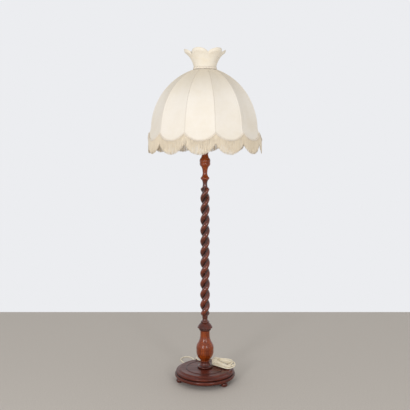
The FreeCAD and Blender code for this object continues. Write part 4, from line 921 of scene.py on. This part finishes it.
FINISHES = {
    "base": ["base_plate"],
    "feet": ["bun_feet"],
    "dark": ["bell_foot", "collar"],
    "amber": ["baluster", "top_vase"],
    "twist": ["twist_column"],
    "steel": ["clamp_rod", "base_washer", "base_nut", "plate_screws", "nipple", "nipple_nut"],
    "brass": ["top_plate", "holder_cap", "holder_body", "contact_plungers", "bulb_cap", "plug_pins"],
    "porcelain": ["contact_block"],
    "black": ["switch_bar", "shade_ring"],
    "white": ["plug"],
    "glass": ["bulb_glass"],
    "wire": ["carrier_plate", "carrier_wires", "carrier_ring", "seat_plate", "seat_arms", "neck_ring", "shade_ribs",
             "rim_wire", "crown_stays", "crown_rim_wire"],
    "flex": ["flex_cores"],
}


def finish_nodes(materials):
    for kind, names in FINISHES.items():
        for name in names:
            slots = NODES[name].data.materials
            slots.clear()
            slots.append(materials[kind])


# ---------------------------------------------------------------- floor and light


FLOOR_SIDE, FLOOR_BACK = 2.6, 1.276


def add_stage():
    floor_data = bpy.data.meshes.new("floor")
    corners = [(-FLOOR_SIDE, -FLOOR_SIDE, 0), (FLOOR_SIDE, -FLOOR_SIDE, 0),
               (FLOOR_SIDE, FLOOR_BACK, 0), (-FLOOR_SIDE, FLOOR_BACK, 0)]
    floor_data.from_pydata(corners, [], [(0, 1, 2, 3)])
    floor = bpy.data.objects.new("floor", floor_data)
    bpy.context.scene.collection.objects.link(floor)
    material, tree, shader = new_material("pale_floor", roughness=0.7)
    grit = speckle(tree, place_in(tree), 160, 4, 0.6)
    tree.links.new(ramp(tree, grit, (0.35, srgb(196, 190, 184)), (0.65, srgb(208, 203, 197))),
                   shader.inputs["Base Color"])
    floor_data.materials.append(material)


def add_light(name, place, aim, power, width, height):
    data = bpy.data.lights.new(name, "AREA")
    data.shape = "RECTANGLE"
    data.energy, data.size, data.size_y = power, width, height
    lamp = bpy.data.objects.new(name, data)
    lamp.location = place
    lamp.rotation_euler = (Vector(aim) - Vector(place)).to_track_quat("-Z", "Y").to_euler()
    bpy.context.scene.collection.objects.link(lamp)


AMBIENT = 0.58


def add_lights():
    add_light("left_softbox", (-1.8, -3.5, 1.5), (0, 0, 1.0), 44, 0.7, 1.1)
    add_light("right_softbox", (1.6, -3.6, 1.5), (0, 0, 1.0), 27, 0.6, 1.0)
    world = bpy.data.worlds.new("studio")
    bpy.context.scene.world = world
    world.use_nodes = True
    tree = world.node_tree
    tree.nodes.clear()
    rays = add(tree, "LightPath").outputs
    seen = sums(tree, "MAXIMUM", rays["Is Camera Ray"],
                sums(tree, "MAXIMUM", rays["Is Glossy Ray"], rays["Is Transmission Ray"]))
    wall = add(tree, "Background", {"Color": srgb(236, 237, 240), "Strength": 1.0}).outputs["Background"]
    air = add(tree, "Background", {"Color": srgb(255, 252, 247), "Strength": AMBIENT}).outputs["Background"]
    mixer = add(tree, "MixShader", {"Fac": seen})
    tree.links.new(air, mixer.inputs[1])
    tree.links.new(wall, mixer.inputs[2])
    add(tree, "OutputWorld", {"Surface": mixer.outputs["Shader"]})


add_camera()
bpy.context.scene.view_settings.view_transform = "Standard"
materials = make_materials()
make_cord(materials)
make_inner_flex(materials)
add_stage()
add_lights()
make_shade(materials)
finish_nodes(materials)
